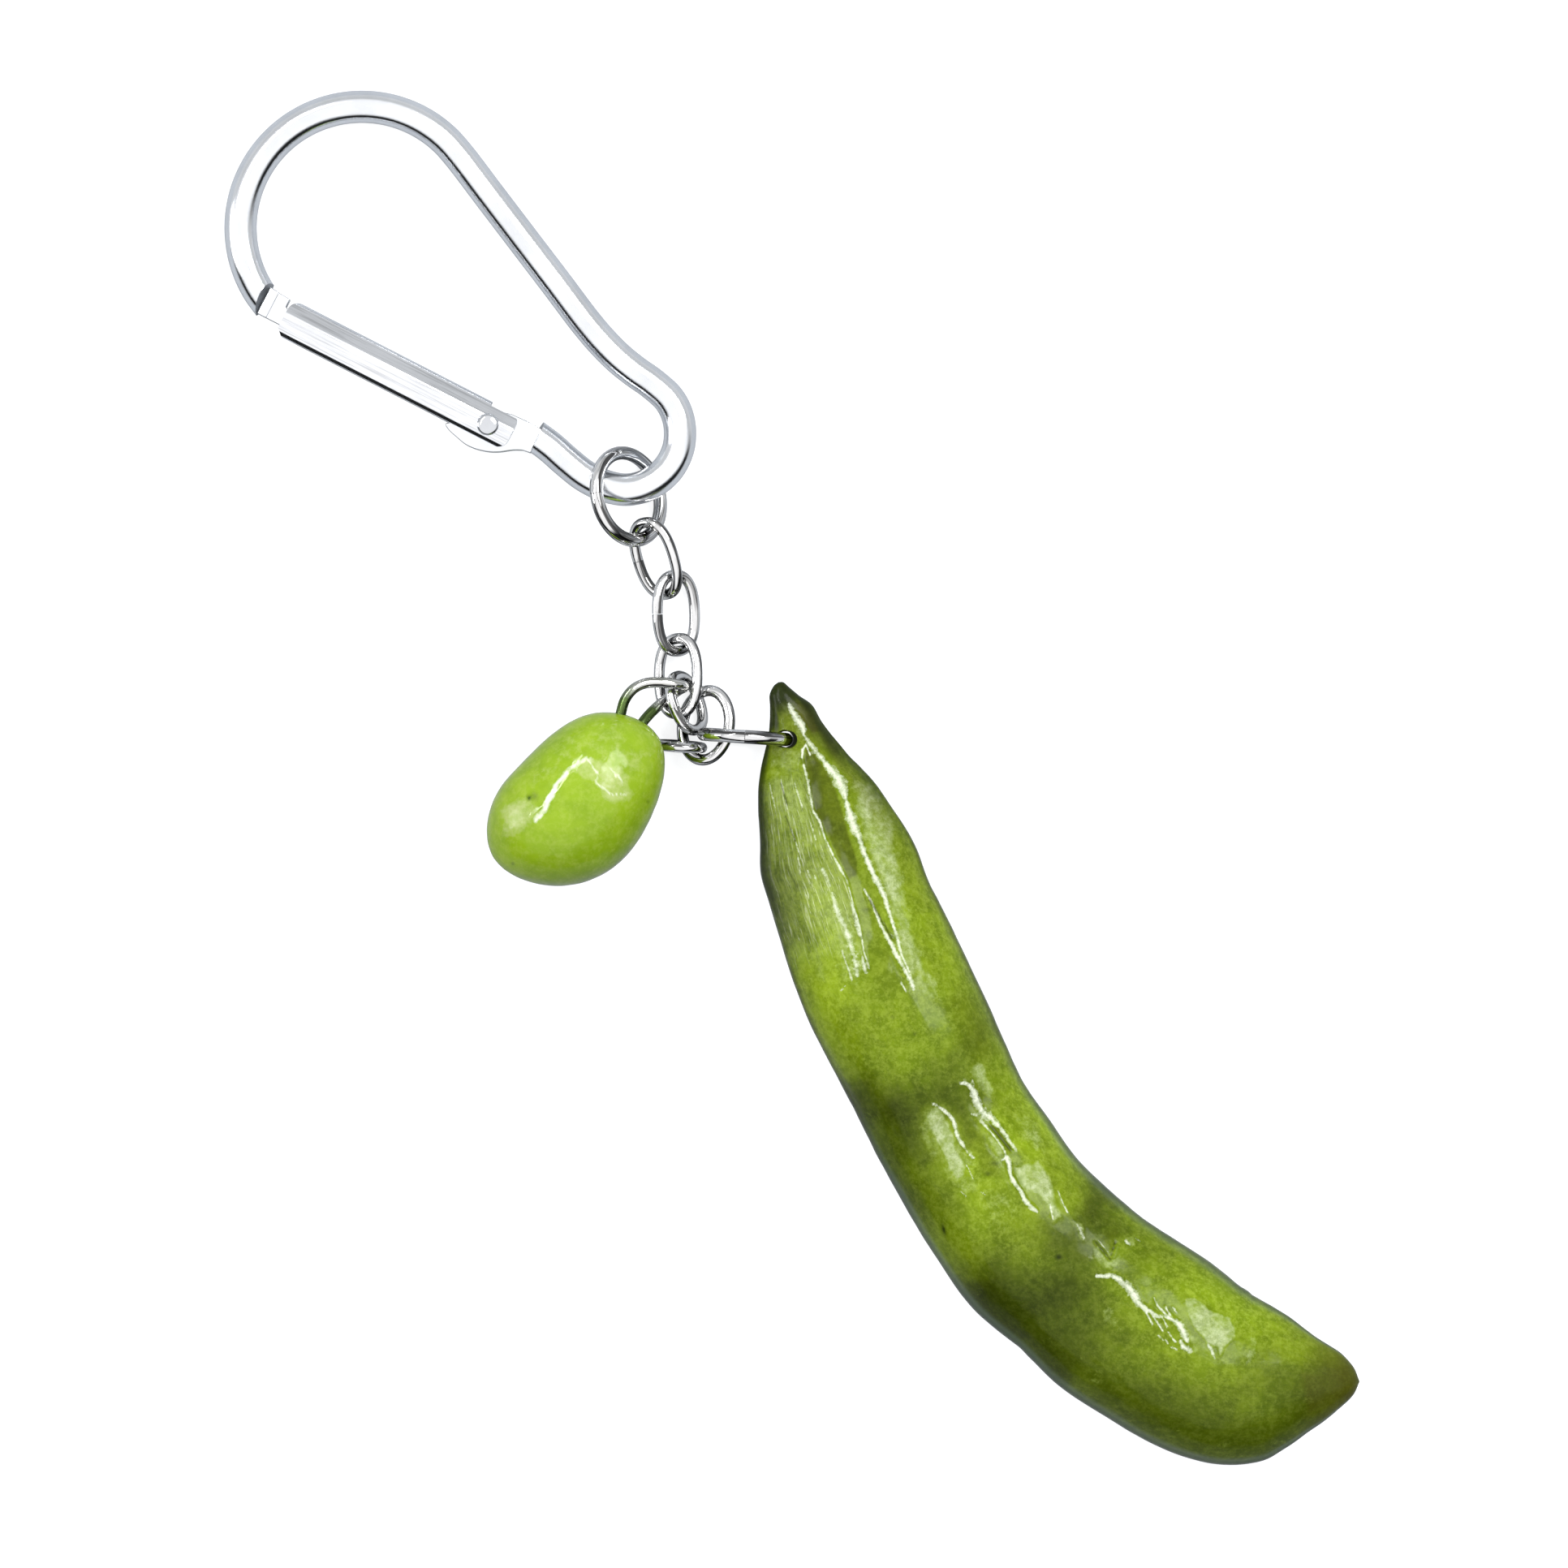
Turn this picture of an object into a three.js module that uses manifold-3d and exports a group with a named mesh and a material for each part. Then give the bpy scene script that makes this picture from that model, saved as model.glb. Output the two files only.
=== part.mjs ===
// Edamame charm key chain: a mini snap-hook carabiner, a split ring, a short
// cable chain, a painted bean charm on a wire eye and a lacquered pod charm on
// its own ring. The whole thing lies on a flat surface at z = 0.
// Millimetres, +Z up. The origin is at the middle of the footprint, on that surface.
import * as THREE from "three";
import { mergeVertices } from "three/addons/utils/BufferGeometryUtils.js";
import Module from "manifold-3d";

const wasm = await Module();
wasm.setup();

// ---------------------------------------------------------------- dimensions
// whole part
const FOOTPRINT_SHIFT = [0, -0.067]; // moves the middle of the footprint to the origin

// carabiner body, in its own flat frame: x runs from the big bow to the small bow
const ROD_D = 2.4;
const BIG_BOW_R = 8.95; // to the rod's centreline
const BOW_DISTANCE = 24.85; // between the two bow centres
const BIG_BOW_AT = [-31.755, 40.569]; // big bow centre on the surface
const CARABINER_TURN = -37.995; // degrees, about +Z
const CARABINER_PITCH = 2.04; // degrees, small bow lifted by the ring under it
const NOSE_ANGLE = 252.4; // degrees on the big bow
const SPINE_ANGLE = 75.3;
// centreline from the spine's end round the small bow to the hinge end
const SMALL_BOW_PATH = [
  [17.45, 4.66], [19.32, 4.28], [21.01, 4.08], [22.55, 4.06], [24.0, 4.13],
  [25.85, 3.96], [27.35, 3.13], [28.5, 1.6], [28.86, -0.2], [28.4, -1.95],
  [27.4, -3.2], [26.0, -3.95], [24.4, -4.3], [22.6, -4.3], [21.0, -4.2], [19.2, -4.25],
];

// gate, in its own frame: origin at the rivet, x towards the hinge end, y inwards
const RIVET_AT = [16.4, -5.73]; // in the carabiner's frame
const GATE_TURN = 10.8; // degrees from the carabiner's long axis
const GATE_FROM = -17.07;
const GATE_TO = 1.87;
const GATE_OPEN_EDGE = -1.185;
const GATE_WEB_EDGE = 1.665;
const GATE_H = 2.7; // across both flanges
const GATE_WALL = 0.4;
const GATE_CORNER_R = 1.0;
const GATE_OPEN_DEG = 28;
const TONGUE_T = 1.6;
const RIVET_D = 1.0;
const RIVET_HEAD_D = 1.64;
const RIVET_HEAD_H = 0.34;
const RIVET_HOLE_D = 1.2;
const SPRING_D = 1.5;
const SPRING_WIRE_D = 0.24;
const SPRING_TURNS = 9;
const SPRING_FROM = -8.15;
const SPRING_TO = -2.85;
const SPRING_Y = 0.15;

// rings and links: half length and half width to the wire's centreline, wire
// diameter, and the exponent of the oval (2 is a plain ellipse)
const RING = { a: 3.3, b: 3.3, wire: 1.0, n: 2 };
const LINK = { a: 2.82, b: 1.62, wire: 0.8, n: 2.4 };
const JUNCTION = { a: 2.1, b: 1.62, wire: 0.8, n: 2.2 };
const CHARM_RING = { a: 2.58, b: 1.9, wire: 0.84, n: 2 };
const END_RING = { a: 1.6, b: 1.6, wire: 0.8, n: 2 };
const POD_RING = { a: 3.05, b: 3.05, wire: 1.0, n: 2 };
const SPLIT = 0.012; // share of the loop left open where the wire's ends meet

// where each ring or link lies: centre, long direction, short direction
const PLACES = {
  carabiner_ring: [[-12.032, 20.675, 2.914], [0.0966, -0.9803, 0.1723], [-0.7045, 0.055, 0.7076]],
  chain_link_1: [[-10.024, 16.116, 1.969], [0.2697, -0.9384, -0.2161], [-0.8077, -0.0983, -0.5813]],
  chain_link_2: [[-8.519, 12.089, 1.3], [0.0307, -0.9987, -0.041], [-0.843, -0.0479, 0.5358]],
  chain_link_3: [[-8.358, 7.434, 1.563], [0.0146, -0.9886, 0.1496], [-0.866, -0.0872, -0.4924]],
  junction_ring: [[-7.756, 5.432, 1.728], [0.351, -0.9364, 0.0032], [-0.546, -0.2019, 0.8131]],
  charm_ring: [[-6.308, 3.796, 1.983], [-0.1411, -0.9882, 0.0593], [-0.8975, 0.1024, -0.429]],
  chain_end_ring: [[-8.114, 2.328, 2.02], [0.9685, -0.083, 0.2348], [-0.2382, -0.0328, 0.9707]],
  pod_ring: [[-3.42, 2.938, 3.56], [0.9979, -0.0649, 0], [0, 0, 1]],
};

// bean eye: the wire's centreline, from one leg in the bean to the other
const EYE_WIRE_D = 0.78;
const EYE_SOCKET_D = 1.18;
const EYE_PATH = [
  [-13.2, 1.8, 4.6], [-12.84, 3.3, 4.75], [-12.58, 4.62, 4.8], [-12.25, 5.7, 4.75],
  [-11.6, 6.5, 4.6], [-10.73, 6.89, 4.3], [-9.65, 6.95, 3.95], [-8.57, 6.83, 3.6],
  [-7.91, 6.65, 2.7], [-8.39, 6.35, 1.8], [-9.41, 5.58, 2.2], [-10.38, 4.7, 3.25],
  [-11.05, 3.9, 3.95], [-11.75, 2.85, 4.35],
];

// bean: axis frame and stations of [along, side shift, half width]
const BEAN_AT = [-15.724, -1.788];
const BEAN_AXIS = [-0.7203, -0.6937]; // from the eye end to the far end
const BEAN_THICK = 0.885; // thickness over width
const BEAN = [
  [-7.64, -0.17, 0], [-7.56, -0.15, 0.69], [-7.33, -0.04, 1.38], [-6.96, 0.07, 2.08], [-6.44, 0.15, 2.75], [-5.79, 0.19, 3.36],
  [-5.02, 0.19, 3.88], [-4.16, 0.14, 4.31], [-3.21, 0.07, 4.65], [-2.2, -0.03, 4.9], [-1.14, -0.13, 5.08], [-0.06, -0.21, 5.17],
  [1.01, -0.23, 5.18], [2.07, -0.19, 5.1], [3.08, -0.09, 4.89], [4.03, 0.01, 4.55], [4.9, 0.12, 4.08], [5.66, 0.22, 3.5],
  [6.31, 0.33, 2.84], [6.83, 0.44, 2.12], [7.21, 0.56, 1.38], [7.44, 0.67, 0.67], [7.51, 0.73, 0],
];

// pod: stations of [x, y, centre height, half width, half thickness]
const POD = [
  [-0.96, 6.98, 3.75, 0, 0],
  [-0.95, 6.86, 3.75, 0.36, 0.32],
  [-0.88, 6.33, 3.7, 0.78, 0.66],
  [-0.52, 5.62, 3.65, 1.14, 0.9],
  [-0.05, 4.72, 3.6, 1.65, 1.05],
  [0.27, 3.57, 3.6, 2.0, 1.2],
  [0.6, 2.21, 3.62, 2.62, 1.38],
  [0.93, 0.73, 3.7, 3.32, 1.68],
  [1.38, -0.71, 3.85, 4.0, 2.14],
  [1.96, -2.2, 4.0, 4.54, 2.45],
  [2.51, -3.69, 4.15, 5.0, 2.75],
  [3.02, -5.39, 4.35, 5.51, 3.05],
  [3.78, -7.24, 4.5, 5.72, 3.35],
  [4.58, -9.62, 4.7, 5.8, 3.7],
  [5.61, -12.24, 4.85, 6.04, 4.05],
  [7.06, -15.63, 4.94, 6.2, 4.5],
  [8.69, -18.95, 4.95, 6.14, 4.75],
  [10.28, -22.25, 4.95, 6.02, 4.55],
  [11.9, -25.59, 4.95, 5.99, 4.3],
  [13.84, -28.74, 4.95, 6.16, 4.62],
  [15.86, -31.81, 4.95, 6.29, 4.9],
  [18.25, -34.67, 4.95, 6.57, 4.75],
  [21.06, -37.08, 4.95, 6.51, 4.45],
  [23.86, -39.42, 4.95, 6.82, 4.7],
  [26.99, -41.48, 4.95, 6.8, 4.95],
  [30.11, -43.5, 4.95, 6.57, 4.75],
  [32.54, -44.41, 4.94, 6.35, 4.4],
  [34.67, -44.6, 4.93, 5.84, 3.8],
  [36.54, -44.57, 4.92, 4.82, 3.1],
  [38.16, -44.59, 4.91, 3.66, 2.4],
  [39.56, -44.54, 4.9, 2.72, 1.8],
  [40.7, -44.5, 4.9, 1.85, 1.25],
  [41.5, -44.55, 4.9, 0.95, 0.65],
  [41.9, -44.6, 4.9, 0, 0],
];
const POD_HOLE_AT = [-0.28, 2.74];
const POD_HOLE_D = 1.7;

// ---------------------------------------------------------------- materials
const metal = (color, roughness) => new THREE.MeshStandardMaterial({ color, roughness, metalness: 1 });
const ALUMINIUM = metal(0xdfe2e6, 0.18);
const NICKEL = metal(0xcfd0cd, 0.15);
const STEEL = metal(0x9a9c9e, 0.35);
const PAINTED_WIRE = new THREE.MeshStandardMaterial({ color: 0x6f8f3c, roughness: 0.35, metalness: 0.4 });
const BEAN_PAINT = new THREE.MeshStandardMaterial({ color: 0x9fcb35, roughness: 0.3, metalness: 0 });
const POD_LACQUER = new THREE.MeshStandardMaterial({ color: 0x6f8f26, roughness: 0.15, metalness: 0 });

// ---------------------------------------------------------------- helpers
const RAD = Math.PI / 180;
const rodEndAngles = (from, to, count) =>
  Array.from({ length: count }, (_, i) => (from + ((to - from) * i) / (count - 1)) * RAD);

// A closed geometry with shared vertices, its faces turned outwards.
function closed(geometry) {
  const g = geometry.clone();
  for (const name of Object.keys(g.attributes)) if (name !== "position") g.deleteAttribute(name);
  const m = mergeVertices(g, 1e-4);
  const p = m.attributes.position.array;
  const old = m.index.array;
  const kept = [];
  let volume = 0;
  for (let i = 0; i < old.length; i += 3) {
    const [a, b, c] = [old[i], old[i + 1], old[i + 2]];
    if (a === b || b === c || a === c) continue;
    kept.push(a, b, c);
    const [A, B, C] = [a, b, c].map((k) => new THREE.Vector3(p[3 * k], p[3 * k + 1], p[3 * k + 2]));
    volume += A.dot(B.cross(C)) / 6;
  }
  if (volume < 0) for (let i = 0; i < kept.length; i += 3) [kept[i + 1], kept[i + 2]] = [kept[i + 2], kept[i + 1]];
  m.setIndex(kept);
  return m;
}

function solid(geometry) {
  const g = closed(geometry);
  return new wasm.Manifold(
    new wasm.Mesh({
      numProp: 3,
      vertProperties: new Float32Array(g.attributes.position.array),
      triVerts: new Uint32Array(g.index.array),
    }),
  );
}

function geometryOf(manifold) {
  const mesh = manifold.getMesh();
  const count = mesh.vertProperties.length / mesh.numProp;
  const v = new Float32Array(count * 3);
  for (let i = 0; i < count; i++) v.set(mesh.vertProperties.subarray(i * mesh.numProp, i * mesh.numProp + 3), i * 3);
  return new THREE.BufferGeometry()
    .setAttribute("position", new THREE.BufferAttribute(v, 3))
    .setIndex(new THREE.BufferAttribute(new Uint32Array(mesh.triVerts), 1));
}

function disc(diameter, sides) {
  const shape = new THREE.Shape();
  for (let i = 0; i < sides; i++) {
    const t = (i / sides) * 2 * Math.PI;
    const x = (diameter / 2) * Math.cos(t), y = (diameter / 2) * Math.sin(t);
    i ? shape.lineTo(x, y) : shape.moveTo(x, y);
  }
  shape.closePath();
  return shape;
}

// Round wire or rod along a curve, with a flat face at each end.
const wireAlong = (curve, diameter, sides, steps) =>
  new THREE.ExtrudeGeometry(disc(diameter, sides), { extrudePath: curve, steps, bevelEnabled: false });

// An outline in the x, y plane, extruded evenly to both sides of z = 0.
function plate(points, thickness) {
  const shape = new THREE.Shape(points.map(([x, y]) => new THREE.Vector2(x, y)));
  return new THREE.ExtrudeGeometry(shape, { depth: thickness, bevelEnabled: false }).translate(0, 0, -thickness / 2);
}

const box = (x0, x1, y0, y1, z0, z1) =>
  new THREE.BoxGeometry(x1 - x0, y1 - y0, z1 - z0).translate((x0 + x1) / 2, (y0 + y1) / 2, (z0 + z1) / 2);

// One turn of a ring or an oval link in the x, y plane, open by SPLIT at its side.
class LoopCurve extends THREE.Curve {
  constructor({ a, b, n }) {
    super();
    Object.assign(this, { a, b, n });
  }
  getPoint(t, target = new THREE.Vector3()) {
    const u = (SPLIT / 2 + t * (1 - SPLIT)) * 2 * Math.PI + Math.PI / 2;
    const bend = (v) => Math.sign(v) * Math.abs(v) ** (2 / this.n);
    return target.set(this.a * bend(Math.cos(u)), this.b * bend(Math.sin(u)), 0);
  }
}

// A body of oval sections along a run of stations, drawn in to a point at each end.
function lofted(stations, sides) {
  const centre = stations.map((s) => new THREE.Vector3(s.at[0], s.at[1], s.at[2]));
  const profile = stations.map((s, i) => new THREE.Vector2(i && i < stations.length - 1 ? 1 : 0, i));
  const g = new THREE.LatheGeometry(profile, sides);
  const p = g.attributes.position;
  for (let k = 0; k < p.count; k++) {
    const i = Math.round(p.getY(k));
    const s = stations[i];
    const before = centre[Math.max(0, i - 1)], after = centre[Math.min(stations.length - 1, i + 1)];
    const run = s.run ? new THREE.Vector2(...s.run) : new THREE.Vector2(after.x - before.x, after.y - before.y).normalize();
    const side = p.getX(k) * s.half[0], up = p.getZ(k) * s.half[1];
    p.setXYZ(k, s.at[0] - run.y * side, s.at[1] + run.x * side, s.at[2] + up);
  }
  return g;
}

const root = new THREE.Group();
root.name = "edamame_key_chain";
root.position.set(FOOTPRINT_SHIFT[0], FOOTPRINT_SHIFT[1], 0);

function add(parent, name, geometry, material) {
  const mesh = new THREE.Mesh(closed(geometry), material);
  mesh.name = name;
  parent.add(mesh);
  return mesh;
}

// ---------------------------------------------------------------- carabiner
const carabiner = new THREE.Group();
carabiner.rotation.set(0, 0, CARABINER_TURN * RAD);
carabiner.position.set(BIG_BOW_AT[0], BIG_BOW_AT[1], 0);
root.add(carabiner);
// The flat frame turns up about the far crown of the big bow, which touches the surface.
const tilted = new THREE.Group();
tilted.rotation.set(0, -CARABINER_PITCH * RAD, 0);
tilted.position.set(-BIG_BOW_R * (1 - Math.cos(CARABINER_PITCH * RAD)), 0, ROD_D / 2 + BIG_BOW_R * Math.sin(CARABINER_PITCH * RAD));
carabiner.add(tilted);

const gateFrame = new THREE.Matrix4()
  .makeRotationZ(GATE_TURN * RAD)
  .setPosition(RIVET_AT[0], RIVET_AT[1], 0);

const rodPoints = [
  ...rodEndAngles(NOSE_ANGLE + 6, SPINE_ANGLE, 20).map((t) => [BIG_BOW_R * Math.cos(t), BIG_BOW_R * Math.sin(t)]),
  [6.1, 7.655], [10, 6.63], [14, 5.58],
  ...SMALL_BOW_PATH,
].map(([x, y]) => new THREE.Vector3(x, y, 0));
const rod = solid(wireAlong(new THREE.CatmullRomCurve3(rodPoints, false, "centripetal"), ROD_D, 12, 92));

// both rod ends are cut square to the gate
const cutNose = solid(box(-19.15, 3.35, -2.5, 3.5, -3, 3).applyMatrix4(gateFrame));
// nose: a stepped latch that the gate closes over
const latchCollar = solid(plate([[-19.6, -0.3], [-18.75, -0.47], [-18.2, -0.47], [-18.2, 1.66], [-18.75, 1.7], [-19.6, 1.85]], 1.96).applyMatrix4(gateFrame));
const latch = solid(plate([[-18.9, -0.47], [-15.7, -0.47], [-15.45, -0.22], [-15.45, 0.6], [-15.7, 0.85], [-17.28, 0.85], [-17.28, 1.58], [-18.9, 1.66]], TONGUE_T).applyMatrix4(gateFrame));
// hinge: a flat tongue with a tail, bored for the rivet
const heel = [];
for (let d = 75; d <= 196; d += 11) heel.push([1.34 * Math.cos(d * RAD), 1.34 * Math.sin(d * RAD)]);
const tongue = solid(
  plate([
    [3.75, -0.42], [3.75, 1.5], [2.3, 1.56], [1.2, 1.5], ...heel,
    [-1.62, -0.72], [-2.6, -1.12], [-2.83, -1.4], [-2.45, -1.66], [-1.75, -1.86], [-0.89, -2.05],
    [-0.2, -2.04], [0.39, -1.93], [1.05, -1.72], [1.67, -1.4], [2.5, -0.82], [3.1, -0.52],
  ], TONGUE_T).applyMatrix4(gateFrame),
);
const bore = solid(new THREE.CylinderGeometry(RIVET_HOLE_D / 2, RIVET_HOLE_D / 2, 6, 16).rotateX(Math.PI / 2).applyMatrix4(gateFrame));
const bodySolid = rod.subtract(cutNose).add(latchCollar).add(latch).add(tongue).subtract(bore);
add(tilted, "carabiner_body", geometryOf(bodySolid), ALUMINIUM);

// gate: a rounded channel, open outwards, slotted at the hinge so it can swing in
const gateGroup = new THREE.Group();
gateGroup.position.set(RIVET_AT[0], RIVET_AT[1], 0);
gateGroup.rotation.set(0, 0, GATE_TURN * RAD);
tilted.add(gateGroup);

const h = GATE_H / 2, w = GATE_WALL, r = GATE_CORNER_R;
const channel = new THREE.Shape();
channel.moveTo(GATE_OPEN_EDGE, -h);
channel.lineTo(GATE_WEB_EDGE - r, -h);
channel.absarc(GATE_WEB_EDGE - r, -h + r, r, -Math.PI / 2, 0, false);
channel.absarc(GATE_WEB_EDGE - r, h - r, r, 0, Math.PI / 2, false);
channel.lineTo(GATE_OPEN_EDGE, h);
channel.lineTo(GATE_OPEN_EDGE, h - w);
channel.absarc(GATE_WEB_EDGE - r, h - r, r - w, Math.PI / 2, 0, true);
channel.absarc(GATE_WEB_EDGE - r, -h + r, r - w, 0, -Math.PI / 2, true);
channel.lineTo(GATE_OPEN_EDGE, -h + w);
channel.closePath();
// extruded along +Z, then stood so its length lies along x and the outline's x along y
const channelSolid = solid(
  new THREE.ExtrudeGeometry(channel, { depth: GATE_TO - GATE_FROM, bevelEnabled: false, curveSegments: 5 }).applyMatrix4(
    new THREE.Matrix4().makeBasis(new THREE.Vector3(0, 1, 0), new THREE.Vector3(0, 0, 1), new THREE.Vector3(1, 0, 0)).setPosition(GATE_FROM, 0, 0),
  ),
);
const endRound = 0.8;
const outline = new THREE.Shape();
outline.moveTo(GATE_FROM + endRound * 0.6, GATE_OPEN_EDGE);
outline.lineTo(GATE_TO - endRound, GATE_OPEN_EDGE);
outline.absarc(GATE_TO - endRound, GATE_OPEN_EDGE + endRound, endRound, -Math.PI / 2, 0, false);
outline.absarc(GATE_TO - endRound, GATE_WEB_EDGE - endRound, endRound, 0, Math.PI / 2, false);
outline.absarc(GATE_FROM + endRound, GATE_WEB_EDGE - endRound, endRound, Math.PI / 2, Math.PI, false);
outline.lineTo(GATE_FROM, GATE_OPEN_EDGE + endRound * 0.6);
outline.closePath();
const plan = solid(new THREE.ExtrudeGeometry(outline, { depth: 4, bevelEnabled: false, curveSegments: 4 }).translate(0, 0, -2));
const hingeSlot = solid(box(-1.65, GATE_TO + 1, 0.85, 2.2, -(h - w), h - w));
const rivetBore = solid(new THREE.CylinderGeometry(RIVET_HOLE_D / 2, RIVET_HOLE_D / 2, 6, 16).rotateX(Math.PI / 2));
const springStop = solid(box(-8.95, -8.4, -0.85, 1.45, -(h - w) - 0.1, h - w + 0.1));
add(gateGroup, "carabiner_gate", geometryOf(channelSolid.intersect(plan).add(springStop).subtract(hingeSlot).subtract(rivetBore)), ALUMINIUM);

// rivet, with a domed head on each side
const headR = RIVET_HEAD_D / 2, shaftR = RIVET_D / 2, under = h + 0.03, top = under + RIVET_HEAD_H;
const rivetProfile = [
  [0, -top], [headR * 0.45, -top + 0.03], [headR * 0.82, -under - RIVET_HEAD_H * 0.5], [headR, -under - 0.06], [headR, -under], [shaftR, -under],
  [shaftR, under], [headR, under], [headR, under + 0.06], [headR * 0.82, under + RIVET_HEAD_H * 0.5], [headR * 0.45, top - 0.03], [0, top],
].map(([x, y]) => new THREE.Vector2(x, y));
add(gateGroup, "gate_rivet", new THREE.LatheGeometry(rivetProfile, 16).rotateX(Math.PI / 2), ALUMINIUM);

// plunger: a domed head on a stem that runs inside the spring
const plungerProfile = [[0, -5.6], [0.33, -5.6], [0.33, -2.72], [0.64, -2.72], [0.64, -1.78], [0.42, -1.57], [0, -1.5]].map(([x, y]) => new THREE.Vector2(x, y));
add(gateGroup, "gate_plunger", new THREE.LatheGeometry(plungerProfile, 12).rotateZ(-Math.PI / 2).translate(0, SPRING_Y, 0), STEEL);

class CoilCurve extends THREE.Curve {
  getPoint(t, target = new THREE.Vector3()) {
    const R = (SPRING_D - SPRING_WIRE_D) / 2, u = t * SPRING_TURNS * 2 * Math.PI;
    const x = SPRING_FROM + SPRING_WIRE_D / 2 + t * (SPRING_TO - SPRING_FROM - SPRING_WIRE_D);
    return target.set(x, SPRING_Y + R * Math.cos(u), R * Math.sin(u));
  }
}
add(gateGroup, "gate_spring", wireAlong(new CoilCurve(), SPRING_WIRE_D, 5, SPRING_TURNS * 11), STEEL);

// ---------------------------------------------------------------- rings and chain
function loop(name, kind, sides, steps) {
  const [at, long, short] = PLACES[name];
  const mesh = add(root, name, wireAlong(new LoopCurve(kind), kind.wire, sides, steps), NICKEL);
  const x = new THREE.Vector3(...long).normalize();
  const z = new THREE.Vector3().crossVectors(x, new THREE.Vector3(...short)).normalize();
  const y = new THREE.Vector3().crossVectors(z, x);
  mesh.quaternion.setFromRotationMatrix(new THREE.Matrix4().makeBasis(x, y, z));
  mesh.position.set(...at);
}
loop("carabiner_ring", RING, 8, 36);
loop("chain_link_1", LINK, 8, 32);
loop("chain_link_2", LINK, 8, 32);
loop("chain_link_3", LINK, 8, 32);
loop("junction_ring", JUNCTION, 8, 28);
loop("charm_ring", CHARM_RING, 8, 30);
loop("chain_end_ring", END_RING, 8, 26);
loop("pod_ring", POD_RING, 8, 36);

// ---------------------------------------------------------------- bean charm
const eyeCurve = new THREE.CatmullRomCurve3(EYE_PATH.map((p) => new THREE.Vector3(...p)), false, "centripetal");
add(root, "bean_eye", wireAlong(eyeCurve, EYE_WIRE_D, 8, 52), PAINTED_WIRE);

const beanHeight = Math.max(...BEAN.map((s) => s[2])) * BEAN_THICK;
const beanStations = BEAN.map(([along, shift, half]) => ({
  at: [
    BEAN_AT[0] + BEAN_AXIS[0] * along + BEAN_AXIS[1] * shift,
    BEAN_AT[1] + BEAN_AXIS[1] * along - BEAN_AXIS[0] * shift,
    beanHeight + 0.01,
  ],
  half: [half, half * BEAN_THICK],
  run: BEAN_AXIS,
}));
const sockets = [EYE_PATH.slice(0, 4), EYE_PATH.slice(-4)].map((leg, i) => {
  const points = leg.map((p) => new THREE.Vector3(...p));
  // each socket runs a little past the end of its leg
  const [last, next] = i ? [points.at(-1), points.at(-2)] : [points[0], points[1]];
  const past = last.clone().addScaledVector(last.clone().sub(next).normalize(), 0.35);
  i ? points.push(past) : points.unshift(past);
  return solid(wireAlong(new THREE.CatmullRomCurve3(points, false, "centripetal"), EYE_SOCKET_D, 10, 14));
});
add(root, "bean", geometryOf(solid(lofted(beanStations, 24)).subtract(sockets[0]).subtract(sockets[1])), BEAN_PAINT);

// ---------------------------------------------------------------- pod charm
const podStations = POD.map(([x, y, z, a, b]) => ({ at: [x, y, z], half: [a, b] }));
const podHole = solid(
  new THREE.CylinderGeometry(POD_HOLE_D / 2, POD_HOLE_D / 2, 12, 14).rotateX(Math.PI / 2).translate(POD_HOLE_AT[0], POD_HOLE_AT[1], 4),
);
add(root, "pod", geometryOf(solid(lofted(podStations, 24)).subtract(podHole)), POD_LACQUER);

export default root;
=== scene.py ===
import bpy, bmesh, math
import numpy as np
from mathutils import Matrix, Vector


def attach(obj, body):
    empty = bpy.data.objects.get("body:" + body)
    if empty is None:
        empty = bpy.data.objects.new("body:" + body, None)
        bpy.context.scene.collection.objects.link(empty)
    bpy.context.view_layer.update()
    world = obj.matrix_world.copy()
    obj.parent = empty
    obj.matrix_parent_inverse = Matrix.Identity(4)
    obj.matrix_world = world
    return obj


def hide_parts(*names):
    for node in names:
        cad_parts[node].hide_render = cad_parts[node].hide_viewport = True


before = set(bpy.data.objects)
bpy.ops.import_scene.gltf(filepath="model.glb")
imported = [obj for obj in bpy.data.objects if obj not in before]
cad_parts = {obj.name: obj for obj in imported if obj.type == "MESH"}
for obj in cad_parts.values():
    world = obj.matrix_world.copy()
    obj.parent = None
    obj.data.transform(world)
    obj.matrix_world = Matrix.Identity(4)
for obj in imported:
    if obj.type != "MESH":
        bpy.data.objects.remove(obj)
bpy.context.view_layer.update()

MM = 0.001
SHIFT_Y = -0.067      # mm, the part's own footprint shift


# ------------------------------------------------------------------ camera
LENS, SENSOR, WIDTH = 465.0, 36.0, 0.11583
cam = bpy.data.objects.new("camera", bpy.data.cameras.new("camera"))
cam.data.lens, cam.data.sensor_width = LENS, SENSOR
cam.data.clip_start, cam.data.clip_end = 0.05, 20
cam.location = (-0.00054, -0.00061, 0.0022 + WIDTH * LENS / SENSOR)
bpy.context.scene.collection.objects.link(cam)
bpy.context.scene.camera = cam
bpy.context.scene.view_settings.view_transform = "Standard"


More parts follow.
